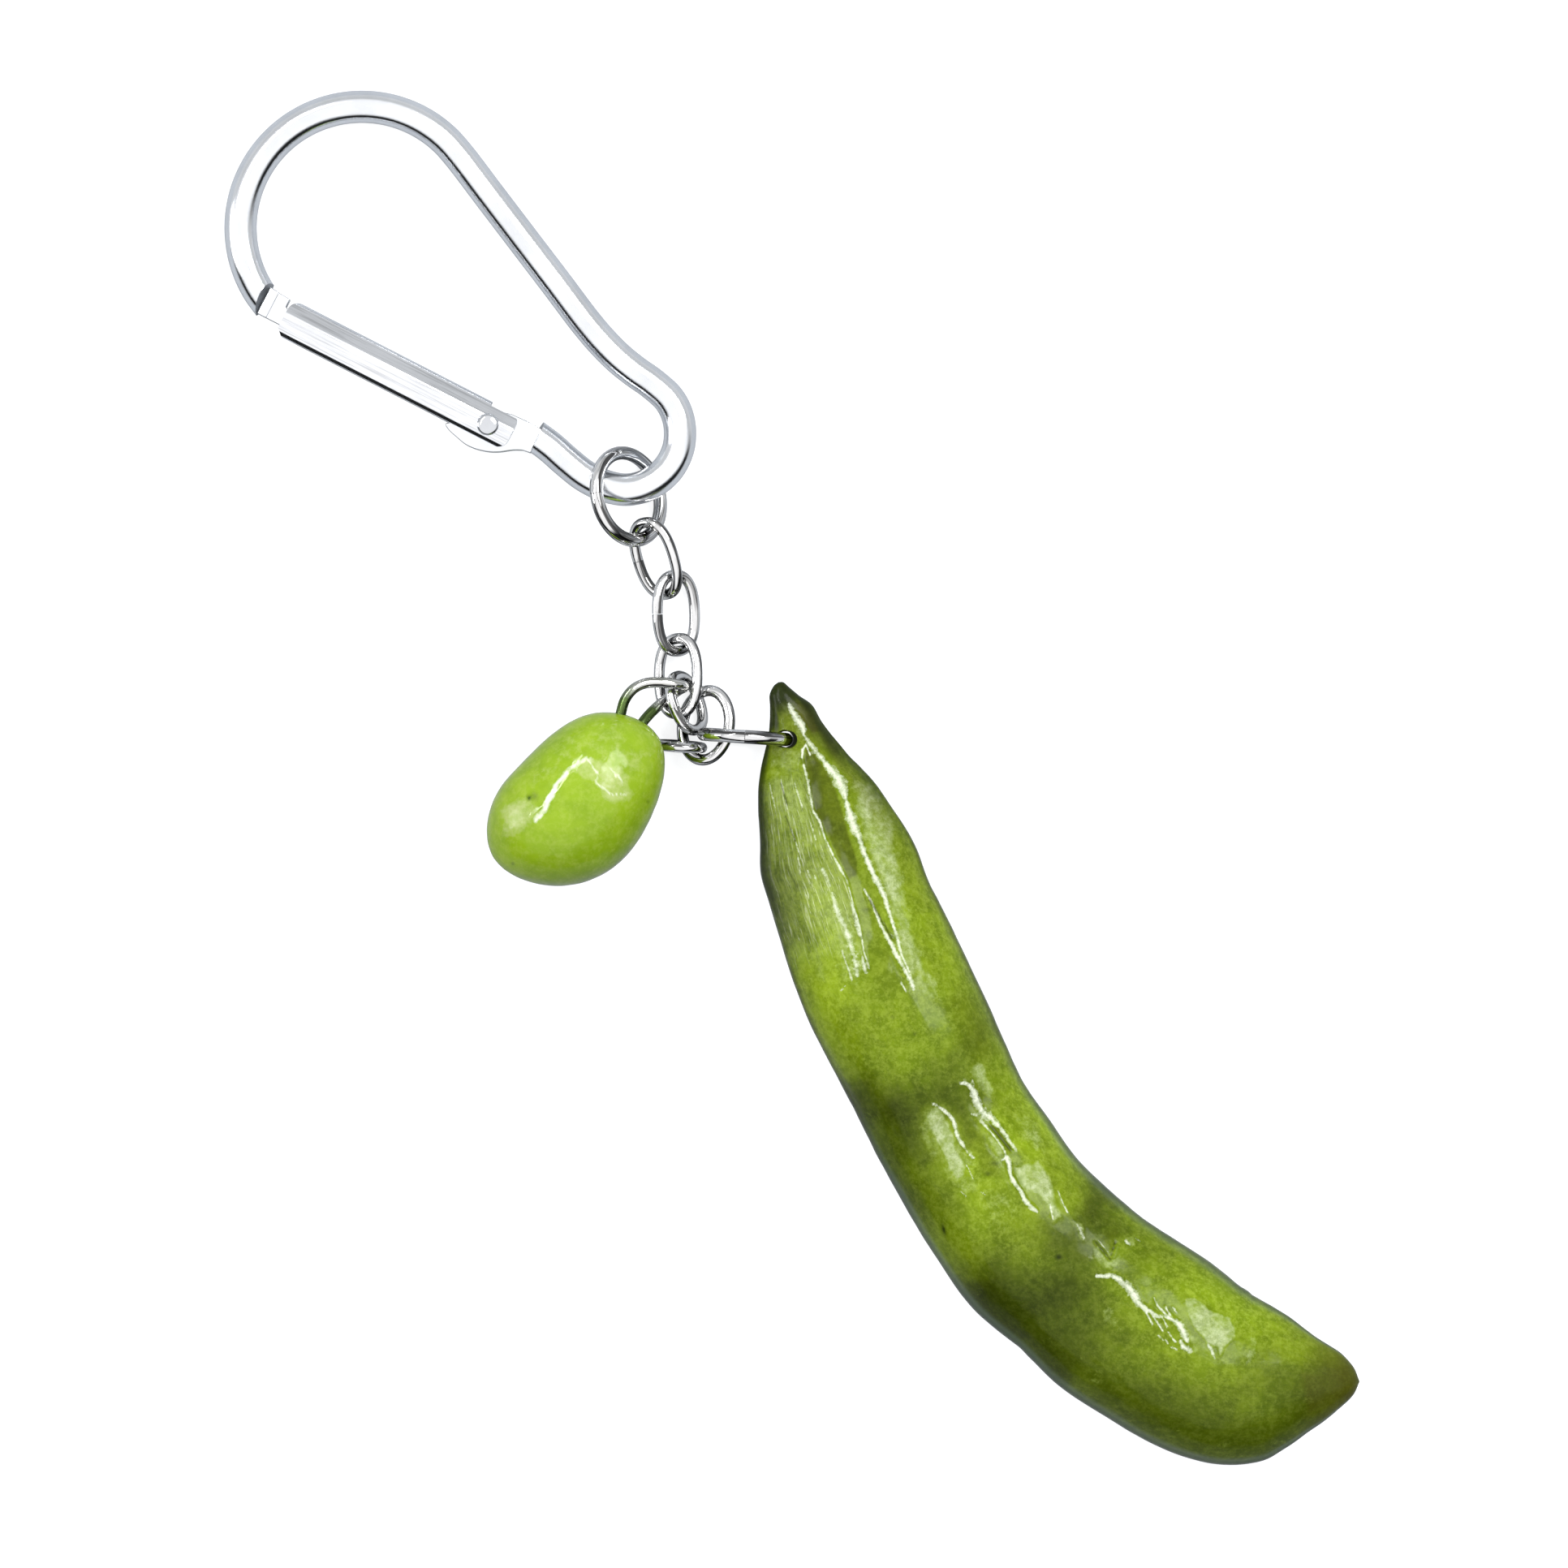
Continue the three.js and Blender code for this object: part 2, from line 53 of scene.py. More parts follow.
# ------------------------------------------------------------------ node helpers
class Mat:
    """A principled material with short helpers for its nodes."""

    def __init__(self, name, **values):
        self.m = bpy.data.materials.new(name)
        self.m.use_nodes = True
        self.t = self.m.node_tree
        self.b = self.t.nodes["Principled BSDF"]
        for k, v in values.items():
            self.b.inputs[k.replace("_", " ")].default_value = v

    def node(self, kind, inputs=None, **props):
        n = self.t.nodes.new(kind)
        for k, v in props.items():
            setattr(n, k, v)
        for k, v in (inputs or {}).items():
            if isinstance(v, bpy.types.NodeSocket):
                self.t.links.new(v, n.inputs[k])
            else:
                n.inputs[k].default_value = v
        return n

    def link(self, socket, name):
        self.t.links.new(socket, self.b.inputs[name])

    def coord(self, scale=(1, 1, 1), attr=None):
        if attr:
            src = self.node("ShaderNodeAttribute", attribute_name=attr).outputs["Vector"]
        else:
            src = self.node("ShaderNodeTexCoord").outputs["Object"]
        return self.node("ShaderNodeMapping", {"Vector": src, "Scale": scale}).outputs[0]

    def noise(self, vector, scale, detail=3.0, rough=0.5, distortion=0.0):
        return self.node("ShaderNodeTexNoise", {"Vector": vector, "Scale": scale, "Detail": detail, "Roughness": rough, "Distortion": distortion}).outputs["Fac"]

    def ramp(self, fac, stops, mode="LINEAR"):
        n = self.node("ShaderNodeValToRGB", {"Fac": fac})
        n.color_ramp.interpolation = mode
        el = n.color_ramp.elements
        while len(el) < len(stops):
            el.new(0.5)
        for e, (p, c) in zip(el, stops):
            e.position = p
            e.color = (c, c, c, 1) if isinstance(c, (int, float)) else (*c, 1)
        return n.outputs["Color"]

    def mix(self, fac, a, b, blend="MIX"):
        n = self.node("ShaderNodeMix", data_type="RGBA", blend_type=blend)
        n.clamp_factor = True
        for sock, v in ((n.inputs[0], fac), (n.inputs[6], a), (n.inputs[7], b)):
            if isinstance(v, bpy.types.NodeSocket):
                self.t.links.new(v, sock)
            else:
                sock.default_value = v if isinstance(v, (int, float)) else (*v, 1)
        return n.outputs[2]

    def math(self, op, a, b=0.0, c=0.0, clamp=False):
        n = self.node("ShaderNodeMath", operation=op, use_clamp=clamp)
        for i, v in enumerate((a, b, c)):
            if isinstance(v, bpy.types.NodeSocket):
                self.t.links.new(v, n.inputs[i])
            else:
                n.inputs[i].default_value = v
        return n.outputs[0]

    def attr(self, name):
        return self.node("ShaderNodeAttribute", attribute_name=name).outputs["Fac"]

    def bump(self, height, strength, distance, normal=None):
        inputs = {"Height": height, "Strength": strength, "Distance": distance}
        if normal is not None:
            inputs["Normal"] = normal
        return self.node("ShaderNodeBump", inputs).outputs[0]


def lin(r, g, b, gain=1.0):
    """An sRGB colour of 0 to 255 as linear light, times a gain."""
    f = lambda c: c / 12.92 if c <= 0.04045 else ((c + 0.055) / 1.055) ** 2.4
    return tuple(f(c / 255) * gain for c in (r, g, b))


G = 0.66      # the lamps together are brighter than one, so the paints are darker


# ------------------------------------------------------------------ curves and meshes
def spline(points, per=24):
    """A centripetal Catmull-Rom curve through the points, open."""
    p = np.asarray(points, float)
    p = np.vstack([2 * p[0] - p[1], p, 2 * p[-1] - p[-2]])
    out = []
    for i in range(1, len(p) - 2):
        p0, p1, p2, p3 = p[i - 1], p[i], p[i + 1], p[i + 2]
        d = [max(np.linalg.norm(b - a) ** 0.5, 1e-6) for a, b in ((p0, p1), (p1, p2), (p2, p3))]
        t0, t1 = 0.0, d[0]
        t2 = t1 + d[1]
        t3 = t2 + d[2]
        last = i == len(p) - 3
        for t in np.linspace(t1, t2, per + (1 if last else 0), endpoint=last):
            a1 = (t1 - t) / (t1 - t0) * p0 + (t - t0) / (t1 - t0) * p1
            a2 = (t2 - t) / (t2 - t1) * p1 + (t - t1) / (t2 - t1) * p2
            a3 = (t3 - t) / (t3 - t2) * p2 + (t - t2) / (t3 - t2) * p3
            b1 = (t2 - t) / (t2 - t0) * a1 + (t - t0) / (t2 - t0) * a2
            b2 = (t3 - t) / (t3 - t1) * a2 + (t - t1) / (t3 - t1) * a3
            out.append((t2 - t) / (t2 - t1) * b1 + (t - t1) / (t2 - t1) * b2)
    return np.array(out)


def resample(path, n):
    d = np.r_[0, np.cumsum(np.linalg.norm(np.diff(path, axis=0), axis=1))]
    t = np.linspace(0, d[-1], n)
    return np.stack([np.interp(t, d, path[:, k]) for k in range(path.shape[1])], axis=1)


def mesh_object(name, verts, faces, material, smooth=True, sharp=None):
    me = bpy.data.meshes.new(name)
    me.from_pydata([tuple(v) for v in verts], [], faces)
    me.validate()
    me.update()
    ob = bpy.data.objects.new(name, me)
    bpy.context.scene.collection.objects.link(ob)
    if material is not None:
        me.materials.append(material)
    if smooth:
        me.polygons.foreach_set("use_smooth", [True] * len(me.polygons))
        if sharp:
            me.set_sharp_from_angle(angle=math.radians(sharp))
    return ob


def grid_faces(rows, cols, flip=False):
    """Quads of a closed tube of rows rings, with a fan at each end. The last two vertices are the end points."""
    faces = []
    for i in range(rows - 1):
        for j in range(cols):
            a, b = i * cols + j, i * cols + (j + 1) % cols
            q = (a, b, b + cols, a + cols)
            faces.append(q[::-1] if flip else q)
    s, e = rows * cols, rows * cols + 1
    last = (rows - 1) * cols
    for j in range(cols):
        k = (j + 1) % cols
        faces.append((s, k, j) if not flip else (s, j, k))
        faces.append((e, last + j, last + k) if not flip else (e, last + k, last + j))
    return faces


def outward(ob):
    bm = bmesh.new()
    bm.from_mesh(ob.data)
    bmesh.ops.recalc_face_normals(bm, faces=bm.faces)
    bm.to_mesh(ob.data)
    bm.free()
    return ob


def sweep(name, path, radius, sides, material, ends=0.0):
    """Round wire along a path in metres. ends rounds the rim of each flat end by that share of the radius."""
    path = np.asarray(path)
    tan = np.gradient(path, axis=0)
    tan /= np.linalg.norm(tan, axis=1)[:, None]
    ref = np.array([0, 0, 1.0]) if abs(tan[0][2]) < 0.9 else np.array([1.0, 0, 0])
    u = np.cross(tan[0], ref)
    u /= np.linalg.norm(u)
    ang = np.arange(sides) / sides * 2 * math.pi
    rings, axes = [], []
    for i in range(len(path)):
        u = u - tan[i] * np.dot(u, tan[i])
        u /= np.linalg.norm(u)
        w = np.cross(tan[i], u)
        axes.append((path[i], tan[i], u.copy(), w))
    stations = [(p, t, u, w, 1.0) for p, t, u, w in axes]
    if ends > 0:
        def cap(a, sign):
            p, t, u, w = a
            extra = []
            for k in range(1, 5):
                c = k / 4 * math.pi / 2
                extra.append((p + sign * t * radius * ends * (math.sin(c) - 1), t, u, w, 1 - ends * (1 - math.cos(c))))
            return extra
        head, tail = cap(axes[0], -1), cap(axes[-1], 1)
        # the path is shortened a little so that the rounded end stays inside the wire's length
        stations = [s for s in stations[1:-1] if np.dot(s[0] - axes[0][0], axes[0][1]) > radius * ends or np.linalg.norm(s[0] - axes[0][0]) > 2 * radius]
        stations = [s for s in stations if np.linalg.norm(s[0] - axes[-1][0]) > radius * ends * 1.2 and np.linalg.norm(s[0] - axes[0][0]) > radius * ends * 1.2]
        stations = head[::-1] + stations + tail
    verts = []
    for p, t, u, w, k in stations:
        for a in ang:
            verts.append(p + (u * math.cos(a) + w * math.sin(a)) * radius * k)
    verts.append(stations[0][0])
    verts.append(stations[-1][0])
    ob = outward(mesh_object(name, verts, grid_faces(len(stations), sides), material, sharp=55))
    centres = np.array([q[0] for q in stations])
    run_s = np.r_[0, np.cumsum(np.linalg.norm(np.diff(centres, axis=0), axis=1))]
    grain = [(s_, math.cos(a) * radius, math.sin(a) * radius) for s_ in run_s for a in ang]
    grain += [(run_s[0], 0, 0), (run_s[-1], 0, 0)]
    set_attr(ob, "grain", np.array(grain))
    return ob


def prism(name, outline, z0, z1, material=None):
    n = len(outline)
    v = [(x, y, z0) for x, y in outline] + [(x, y, z1) for x, y in outline]
    f = [tuple(range(n))[::-1], tuple(range(n, 2 * n))] + [(i, (i + 1) % n, (i + 1) % n + n, i + n) for i in range(n)]
    return outward(mesh_object(name, v, f, material, smooth=False))


def round_outline(points, r, steps=5):
    """The outline with its corners rounded by r, or by less where an edge is short."""
    out = []
    n = len(points)
    for i in range(n):
        p0, p, p1 = (np.array(points[(i + k) % n], float) for k in (-1, 0, 1))
        a, b = p0 - p, p1 - p
        la, lb = np.linalg.norm(a), np.linalg.norm(b)
        a, b = a / la, b / lb
        cut = min(r, la * 0.45, lb * 0.45)
        s, e = p + a * cut, p + b * cut
        for k in range(steps + 1):
            t = k / steps
            out.append((1 - t) ** 2 * s + 2 * t * (1 - t) * p + t * t * e)
    return [tuple(q) for q in out]


def boolean(target, other, how):
    m = target.modifiers.new("b", "BOOLEAN")
    m.operation, m.object, m.solver = how, other, "MANIFOLD"
    apply_modifiers(target)
    me = other.data
    bpy.data.objects.remove(other)
    bpy.data.meshes.remove(me)


def apply_modifiers(ob):
    dg = bpy.context.evaluated_depsgraph_get()
    new = bpy.data.meshes.new_from_object(ob.evaluated_get(dg), preserve_all_data_layers=True, depsgraph=dg)
    old = ob.data
    ob.modifiers.clear()
    ob.data = new
    bpy.data.meshes.remove(old)
    return ob


def even_normals(ob, angle):
    ob.data.polygons.foreach_set("use_smooth", [True] * len(ob.data.polygons))
    ob.data.set_sharp_from_angle(angle=math.radians(angle))
    m = ob.modifiers.new("n", "WEIGHTED_NORMAL")
    m.mode, m.weight, m.keep_sharp = "FACE_AREA", 60, True
    return apply_modifiers(ob)


def transform(ob, matrix):
    ob.data.transform(matrix)
    ob.data.update()
    return ob


def set_attr(ob, name, values):
    values = np.asarray(values, np.float32)
    kind = "FLOAT_VECTOR" if values.ndim == 2 else "FLOAT"
    a = ob.data.attributes.new(name, kind, "POINT")
    a.data.foreach_set("vector" if values.ndim == 2 else "value", values.ravel())


def coords(ob):
    v = np.empty(len(ob.data.vertices) * 3, np.float32)
    ob.data.vertices.foreach_get("co", v)
    return v.reshape(-1, 3).astype(float)


def bell(x, centre, width):
    return np.exp(-0.5 * ((x - centre) / width) ** 2)


def step(x, a, b):
    t = np.clip((x - a) / (b - a), 0, 1)
    return t * t * (3 - 2 * t)


def value_noise(p, scale, seed):
    """Smooth repeatable noise of -1 to 1 at points p, in the same units as 1/scale."""
    q = np.asarray(p) * scale
    i = np.floor(q).astype(np.int64)
    f = q - i
    f = f * f * (3 - 2 * f)
    out = 0
    for c in np.ndindex(*(2,) * q.shape[1]):
        c = np.array(c)
        h = ((i + c) * np.array([374761393, 668265263, 2147483647, 1274126177][: q.shape[1]])).sum(axis=1) + seed * 974634777
        h = (h ^ (h >> 13)) * 1274126177
        h = (h ^ (h >> 16)) & 0xFFFFFF
        out = out + (h / 0x7FFFFF - 1) * np.prod(np.where(c == 1, f, 1 - f), axis=1)
    return out


def px(*points):
    """Places seen from above, in the frame's millimetres."""
    return np.array([((u_ - 975) / 16.68, -(v_ - 957) / 16.68 + SHIFT_Y) for u_, v_ in points])


def distance(at, line_points):
    """The distance from each point to a line of straight pieces, with the side it lies on and its share of the line's length."""
    best = np.full(len(at), 1e9)
    side = np.zeros(len(at))
    share = np.zeros(len(at))
    steps = np.r_[0, np.cumsum(np.linalg.norm(np.diff(line_points, axis=0), axis=1))]
    for k in range(len(line_points) - 1):
        a_, b_ = line_points[k], line_points[k + 1]
        ab = b_ - a_
        t = np.clip(((at - a_) @ ab) / (ab @ ab), 0, 1)
        d_ = at - (a_ + t[:, None] * ab)
        m_ = np.linalg.norm(d_, axis=1)
        closer = m_ < best
        best[closer] = m_[closer]
        side[closer] = np.sign(ab[0] * d_[:, 1] - ab[1] * d_[:, 0])[closer]
        share[closer] = ((steps[k] + t * (steps[k + 1] - steps[k])) / steps[-1])[closer]
    return best, side, share


def inside(at, polygon, soft):
    """1 inside a polygon, falling to 0 over a soft edge."""
    d_, _, _ = distance(at, np.vstack([polygon, polygon[:1]]))
    x_, y_ = at[:, 0], at[:, 1]
    hit = np.zeros(len(at), bool)
    for k in range(len(polygon)):
        (ax, ay), (bx, by) = polygon[k], polygon[(k + 1) % len(polygon)]
        cross = (ay > y_) != (by > y_)
        hit ^= cross & (x_ < (bx - ax) * (y_ - ay) / (by - ay + 1e-12) + ax)
    return step(np.where(hit, d_, -d_), -soft, soft)



# ------------------------------------------------------------------ metals
def metal(name, tint, rough, dull=0.5, streaks_and_reflections=0.5, bump=0.05, wave=0.0, spacing=5200, cover=(0.50, 0.66), sawn_and_shaded=False):
    """Drawn or rolled metal: its marks run along the wire, by the grain coordinates of the mesh. The dark streaks along
    the wire are partly drawing marks and partly painted dark reflections.
    """
    m = Mat(name, Metallic=1.0)
    cloud = m.noise(m.coord(), 260, 4, 0.6)
    line = m.noise(m.coord((140, spacing, spacing), attr="grain"), 1.0, 5, 0.6, 0.3)
    hair = m.noise(m.coord((60, 12000, 12000), attr="grain"), 1.0, 3, 0.6)
    roll = m.noise(m.coord((420, 1500, 1500), attr="grain"), 1.0, 3, 0.5, 0.4)
    dark = tuple(v * dull for v in tint)
    # dark streaks along the wire: partly drawing marks, partly painted dark reflections
    mark = m.math("MULTIPLY", m.ramp(line, [(cover[0], 0.0), (cover[1], 1.0)]), streaks_and_reflections)
    base = m.mix(m.ramp(cloud, [(0.4, 0.0), (0.75, 0.5)]), tint, tuple(v * (1 + dull) / 2 for v in tint))
    base = m.mix(mark, base, dark)
    cut_rough = m.math("MULTIPLY_ADD", m.ramp(hair, [(0.3, 0.0), (0.8, 1.0)]), rough, rough * 0.6)
    # the cut faces are rougher, and their darker colour is painted shade
    if sawn_and_shaded:
        base = m.mix(m.attr("sawn_and_shaded"), base, m.mix(m.ramp(cloud, [(0.35, 0.0), (0.65, 1.0)]), (0.26, 0.27, 0.28), (0.56, 0.58, 0.61)))
        cut_rough = m.math("MULTIPLY_ADD", m.attr("sawn_and_shaded"), 0.42, cut_rough)
    m.link(base, "Base Color")
    m.link(cut_rough, "Roughness")
    n = m.bump(roll, wave, 0.0002) if wave else None
    n = m.bump(line, bump, 0.00006, n)
    m.link(m.bump(hair, bump * 0.7, 0.00003, n), "Normal")
    return m.m


ALU = metal("drawn_aluminium", (0.90, 0.925, 0.96), 0.045, dull=0.42, streaks_and_reflections=0.62, bump=0.05, wave=0.03, spacing=6200, cover=(0.56, 0.63), sawn_and_shaded=True)
ALU_GATE = metal("rolled_aluminium", (0.89, 0.91, 0.945), 0.10, dull=0.5, streaks_and_reflections=0.55, bump=0.08, wave=0.02, cover=(0.50, 0.62))
# the bright nickel's near-black streaks are painted dark reflections
NICKEL = metal("bright_nickel", (0.84, 0.84, 0.84), 0.05, dull=0.05, streaks_and_reflections=0.92, bump=0.08, wave=0.10, spacing=2700, cover=(0.46, 0.58))
RIVET = metal("rivet_head", (0.70, 0.72, 0.75), 0.07, dull=0.5, streaks_and_reflections=0.3, bump=0.05)
STEEL = metal("spring_steel", (0.5, 0.5, 0.5), 0.25, dull=0.5, streaks_and_reflections=0.5, bump=0.1)

# ------------------------------------------------------------------ carabiner
TURN, PITCH, BOW_R, ROD_R = math.radians(-37.995), math.radians(2.04), 8.95, 1.2
lift = (-BOW_R * (1 - math.cos(PITCH)), 0, ROD_R + BOW_R * math.sin(PITCH))
TILTED = (
    Matrix.Scale(MM, 4)
    @ Matrix.Translation((-31.755, 40.569 + SHIFT_Y, 0))
    @ Matrix.Rotation(TURN, 4, "Z")
    @ Matrix.Translation(lift)
    @ Matrix.Rotation(-PITCH, 4, "Y")
)
GATE = Matrix.Translation((16.4, -5.73, 0)) @ Matrix.Rotation(math.radians(10.8), 4, "Z")

bow = [(BOW_R * math.cos(math.radians(a)), BOW_R * math.sin(math.radians(a))) for a in np.linspace(252.4 + 6, 75.3, 20)]
rod_points = bow + [(6.1, 7.655), (10, 6.63), (14, 5.58)] + [
    (17.45, 4.66), (19.32, 4.28), (21.01, 4.08), (22.55, 4.06), (24.0, 4.13),
    (25.85, 3.96), (27.35, 3.13), (28.5, 1.6), (28.86, -0.2), (28.4, -1.95),
    (27.4, -3.2), (26.0, -3.95), (24.4, -4.3), (22.6, -4.3), (21.0, -4.2), (19.2, -4.25),
]
rod_path = resample(spline([(x, y, 0) for x, y in rod_points], 20), 420)


def box_mesh(x0, x1, y0, y1, z0, z1):
    return prism("tool", [(x0, y0), (x1, y0), (x1, y1), (x0, y1)], z0, z1)


body = sweep("carabiner_rod", rod_path, ROD_R, 40, ALU)
# its ends are sawn at a slant: the nose from its middle up, the other end across its whole height
gap = prism("tool", [(-18.85, -3), (3.057, -3), (4.03, 3), (-20.32, 3), (-18.85, 0)], -3.5, 2.5)
boolean(body, transform(transform(gap, Matrix.Rotation(math.radians(90), 4, "X")), GATE), "DIFFERENCE")


def softened(ob, width, segments=3, angle=35):
    m = ob.modifiers.new("soft", "BEVEL")
    m.width, m.segments, m.limit_method, m.angle_limit = width, segments, "ANGLE", math.radians(angle)
    m.harden_normals = False
    return apply_modifiers(ob)


collar = prism("collar", round_outline([(-18.95, -0.47), (-18.2, -0.47), (-18.2, 1.66), (-18.95, 1.70)], 0.12), -0.98, 0.98)
latch = prism("latch", round_outline([(-18.9, -0.47), (-15.7, -0.47), (-15.45, -0.22), (-15.45, 0.6), (-15.7, 0.85), (-17.28, 0.85), (-17.28, 1.58), (-18.9, 1.66)], 0.12), -0.8, 0.8)
heel = [(1.34 * math.cos(math.radians(d)), 1.34 * math.sin(math.radians(d))) for d in range(75, 197, 5)]
tongue_outline = [(3.75, -0.42), (3.75, 1.5), (2.3, 1.56), (1.2, 1.5)] + heel
tail = spline([(p[0], p[1], 0) for p in [
    (-1.62, -0.72), (-2.6, -1.12), (-2.83, -1.4), (-2.45, -1.66), (-1.75, -1.86), (-0.89, -2.05),
    (-0.2, -2.04), (0.39, -1.93), (1.05, -1.72), (1.67, -1.4), (2.5, -0.82), (3.1, -0.52)]], 5)
tongue = prism("tongue", tongue_outline + [(p[0], p[1]) for p in tail], -0.71, 0.71)
for piece, bevel in ((collar, 0.12), (latch, 0.08), (tongue, 0.12)):
    softened(piece, bevel, 3, 45)
    transform(piece, GATE)
    boolean(body, piece, "UNION")


def cylinder(r, z0, z1, sides=48):
    return prism("tool", [(r * math.cos(a), r * math.sin(a)) for a in np.arange(sides) / sides * 2 * math.pi], z0, z1)


boolean(body, transform(cylinder(0.6, -3, 3), GATE), "DIFFERENCE")
transform(body, TILTED)
body.name = body.data.name = "carabiner_frame"
rod_mm = np.array([(TILTED @ Vector(q))[:] for q in rod_path]) / MM
q = coords(body) / MM
near_rod = np.argmin(((q[:, None, :] - rod_mm[None, ::2]) ** 2).sum(axis=2), axis=1) * 2
rod_s = np.r_[0, np.cumsum(np.linalg.norm(np.diff(rod_mm, axis=0), axis=1))]
tangent = np.gradient(rod_mm, axis=0)
tangent /= np.linalg.norm(tangent, axis=1)[:, None]
off = q - rod_mm[near_rod]
along = rod_s[near_rod] + (off * tangent[near_rod]).sum(axis=1)
sideways = np.cross(tangent[near_rod], np.array([0, 0, 1.0]))
set_attr(body, "grain", np.column_stack([along, (off * sideways).sum(axis=1), off[:, 2]]) * MM)
# sawn ends and filed edges are rougher than the drawn rod; their darker colour is painted shade
to_gate = (TILTED @ GATE).inverted()
turn_back = to_gate.to_3x3().normalized()
sawn_and_shaded = []
for face in body.data.polygons:
    c, n = to_gate @ face.center, turn_back @ face.normal
    nose = abs((c.x + 18.85) * 1.2 + c.z * 0.59) / 1.337 < 0.04 and c.z > -0.02 and n.x > 0.5
    other = abs(c.x - 3.545 - 0.1625 * c.z) < 0.05 and n.x < -0.7
    filed = -19.2 < c.x < 3.3 and -2.5 < c.y < 2.2 and abs(c.z) > 0.57 and 0.15 < abs(n.z) < 0.93
    sawn_and_shaded.append(1.0 if nose or other else 0.75 if filed else 0.0)
body.data.attributes.new("sawn_and_shaded", "FLOAT", "FACE").data.foreach_set("value", sawn_and_shaded)
even_normals(body, 30)
body.data.materials.clear()
body.data.materials.append(ALU)
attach(body, "carabiner")
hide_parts("carabiner_body")

# the gate's channel, its corners drawn finely, then cut to length
GATE_INV = (TILTED @ GATE).inverted()
E0, E1, H, W, CR = -1.185, 1.665, 1.35, 0.4, 1.0


def arc(cx, cy, r, a0, a1, n=14):
    return [(cx + r * math.cos(math.radians(a)), cy + r * math.sin(math.radians(a))) for a in np.linspace(a0, a1, n)]


half_section = round_outline([(E0, 0.9), (E0, H - 0.3), (-0.83, H), (0.5, H), (1.48, H - 0.6), (E1, H - 0.86), (E1, 0.2)], 0.16, 6)[7:-7]
section = (
    [(x, -z) for x, z in half_section] + [(x, z) for x, z in half_section[::-1]]
    + [(E0, H - 0.62), (0.55, H - 0.4), (1.2, H - 0.8), (1.265, H - 0.95)]
    + [(1.265, -(H - 0.95)), (1.2, -(H - 0.8)), (0.55, -(H - 0.4)), (E0, -(H - 0.62))]
)
gate = prism("gate", section, 0, 1.87 + 17.07)
transform(gate, Matrix(((0, 0, 1, -17.07), (1, 0, 0, 0), (0, 1, 0, 0), (0, 0, 0, 1))))
G0, G1, ER = -17.07, 1.87, 0.8
ends = (
    [(G0 + ER * 0.6, E0), (G1 - ER, E0)] + arc(G1 - ER, E0 + ER, ER, -90, 0) + arc(G1 - ER, E1 - ER, ER, 0, 90)
    + arc(G0 + ER, E1 - ER, ER, 90, 180) + [(G0, E0 + ER * 0.6)]
)
boolean(gate, prism("tool", ends, -3, 3), "INTERSECT")
boolean(gate, box_mesh(-1.15, G1 + 1, 0.79, 1.32, -0.82, 0.82), "DIFFERENCE")
boolean(gate, box_mesh(-0.5, G1 + 1, 1.2, 2.2, -0.82, 0.82), "DIFFERENCE")
boolean(gate, cylinder(0.6, -3, 3), "DIFFERENCE")
boolean(gate, box_mesh(-8.95, -8.4, -0.85, 1.3, -0.85, 0.85), "UNION")
softened(gate, 0.05, 2, 40)
transform(gate, TILTED @ GATE)
gate.name = gate.data.name = "gate_channel"
q = np.array([(GATE_INV @ Vector(c))[:] for c in coords(gate)])
set_attr(gate, "grain", q * MM)
even_normals(gate, 30)
gate.data.materials.clear()
gate.data.materials.append(ALU_GATE)
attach(gate, "gate")
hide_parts("carabiner_gate")


def turned(name, profile, sides, material, matrix):
    """A turned piece: profile of (radius, height), from axis to axis."""
    inner = profile[1:-1]
    verts = []
    for r, z in inner:
        for a in np.arange(sides) / sides * 2 * math.pi:
            verts.append((r * math.cos(a), r * math.sin(a), z))
    verts.append((0, 0, profile[0][1]))
    verts.append((0, 0, profile[-1][1]))
    ob = outward(mesh_object(name, verts, grid_faces(len(inner), sides), material, sharp=40))
    return transform(ob, matrix)


dome = [(0, 0.34)] + [(0.82 * math.sin(t), 0.34 * math.cos(t) ** 0.8) for t in np.linspace(0.2, math.pi / 2 - 0.05, 9)] + [(0.82, 0)]
under = H + 0.03
profile = [(r, -(under + z)) for r, z in dome] + [(0.5, -under), (0.5, under)] + [(r, under + z) for r, z in dome[::-1]]
rivet = turned("rivet", profile, 48, RIVET, TILTED @ GATE)
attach(rivet, "gate")
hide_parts("gate_rivet")

plunger = turned("plunger", [(0, -5.6), (0.33, -5.6), (0.33, -2.72), (0.64, -2.72), (0.64, -1.78), (0.6, -1.68), (0.42, -1.57), (0.2, -1.51), (0, -1.5)], 32, STEEL,
                 TILTED @ GATE @ Matrix.Translation((0, 0.15, 0)) @ Matrix.Rotation(math.radians(90), 4, "Y"))
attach(plunger, "gate")
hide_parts("gate_plunger")
coil_r = (1.5 - 0.24) / 2
coil = []
for t in np.linspace(0, 1, 420):
    a = t * 9 * 2 * math.pi
    coil.append((-8.15 + 0.12 + t * (-2.85 + 8.15 - 0.24), 0.15 + coil_r * math.cos(a), coil_r * math.sin(a)))
spring = sweep("spring", coil, 0.12, 12, STEEL)
transform(spring, TILTED @ GATE)
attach(spring, "gate")
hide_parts("gate_spring")

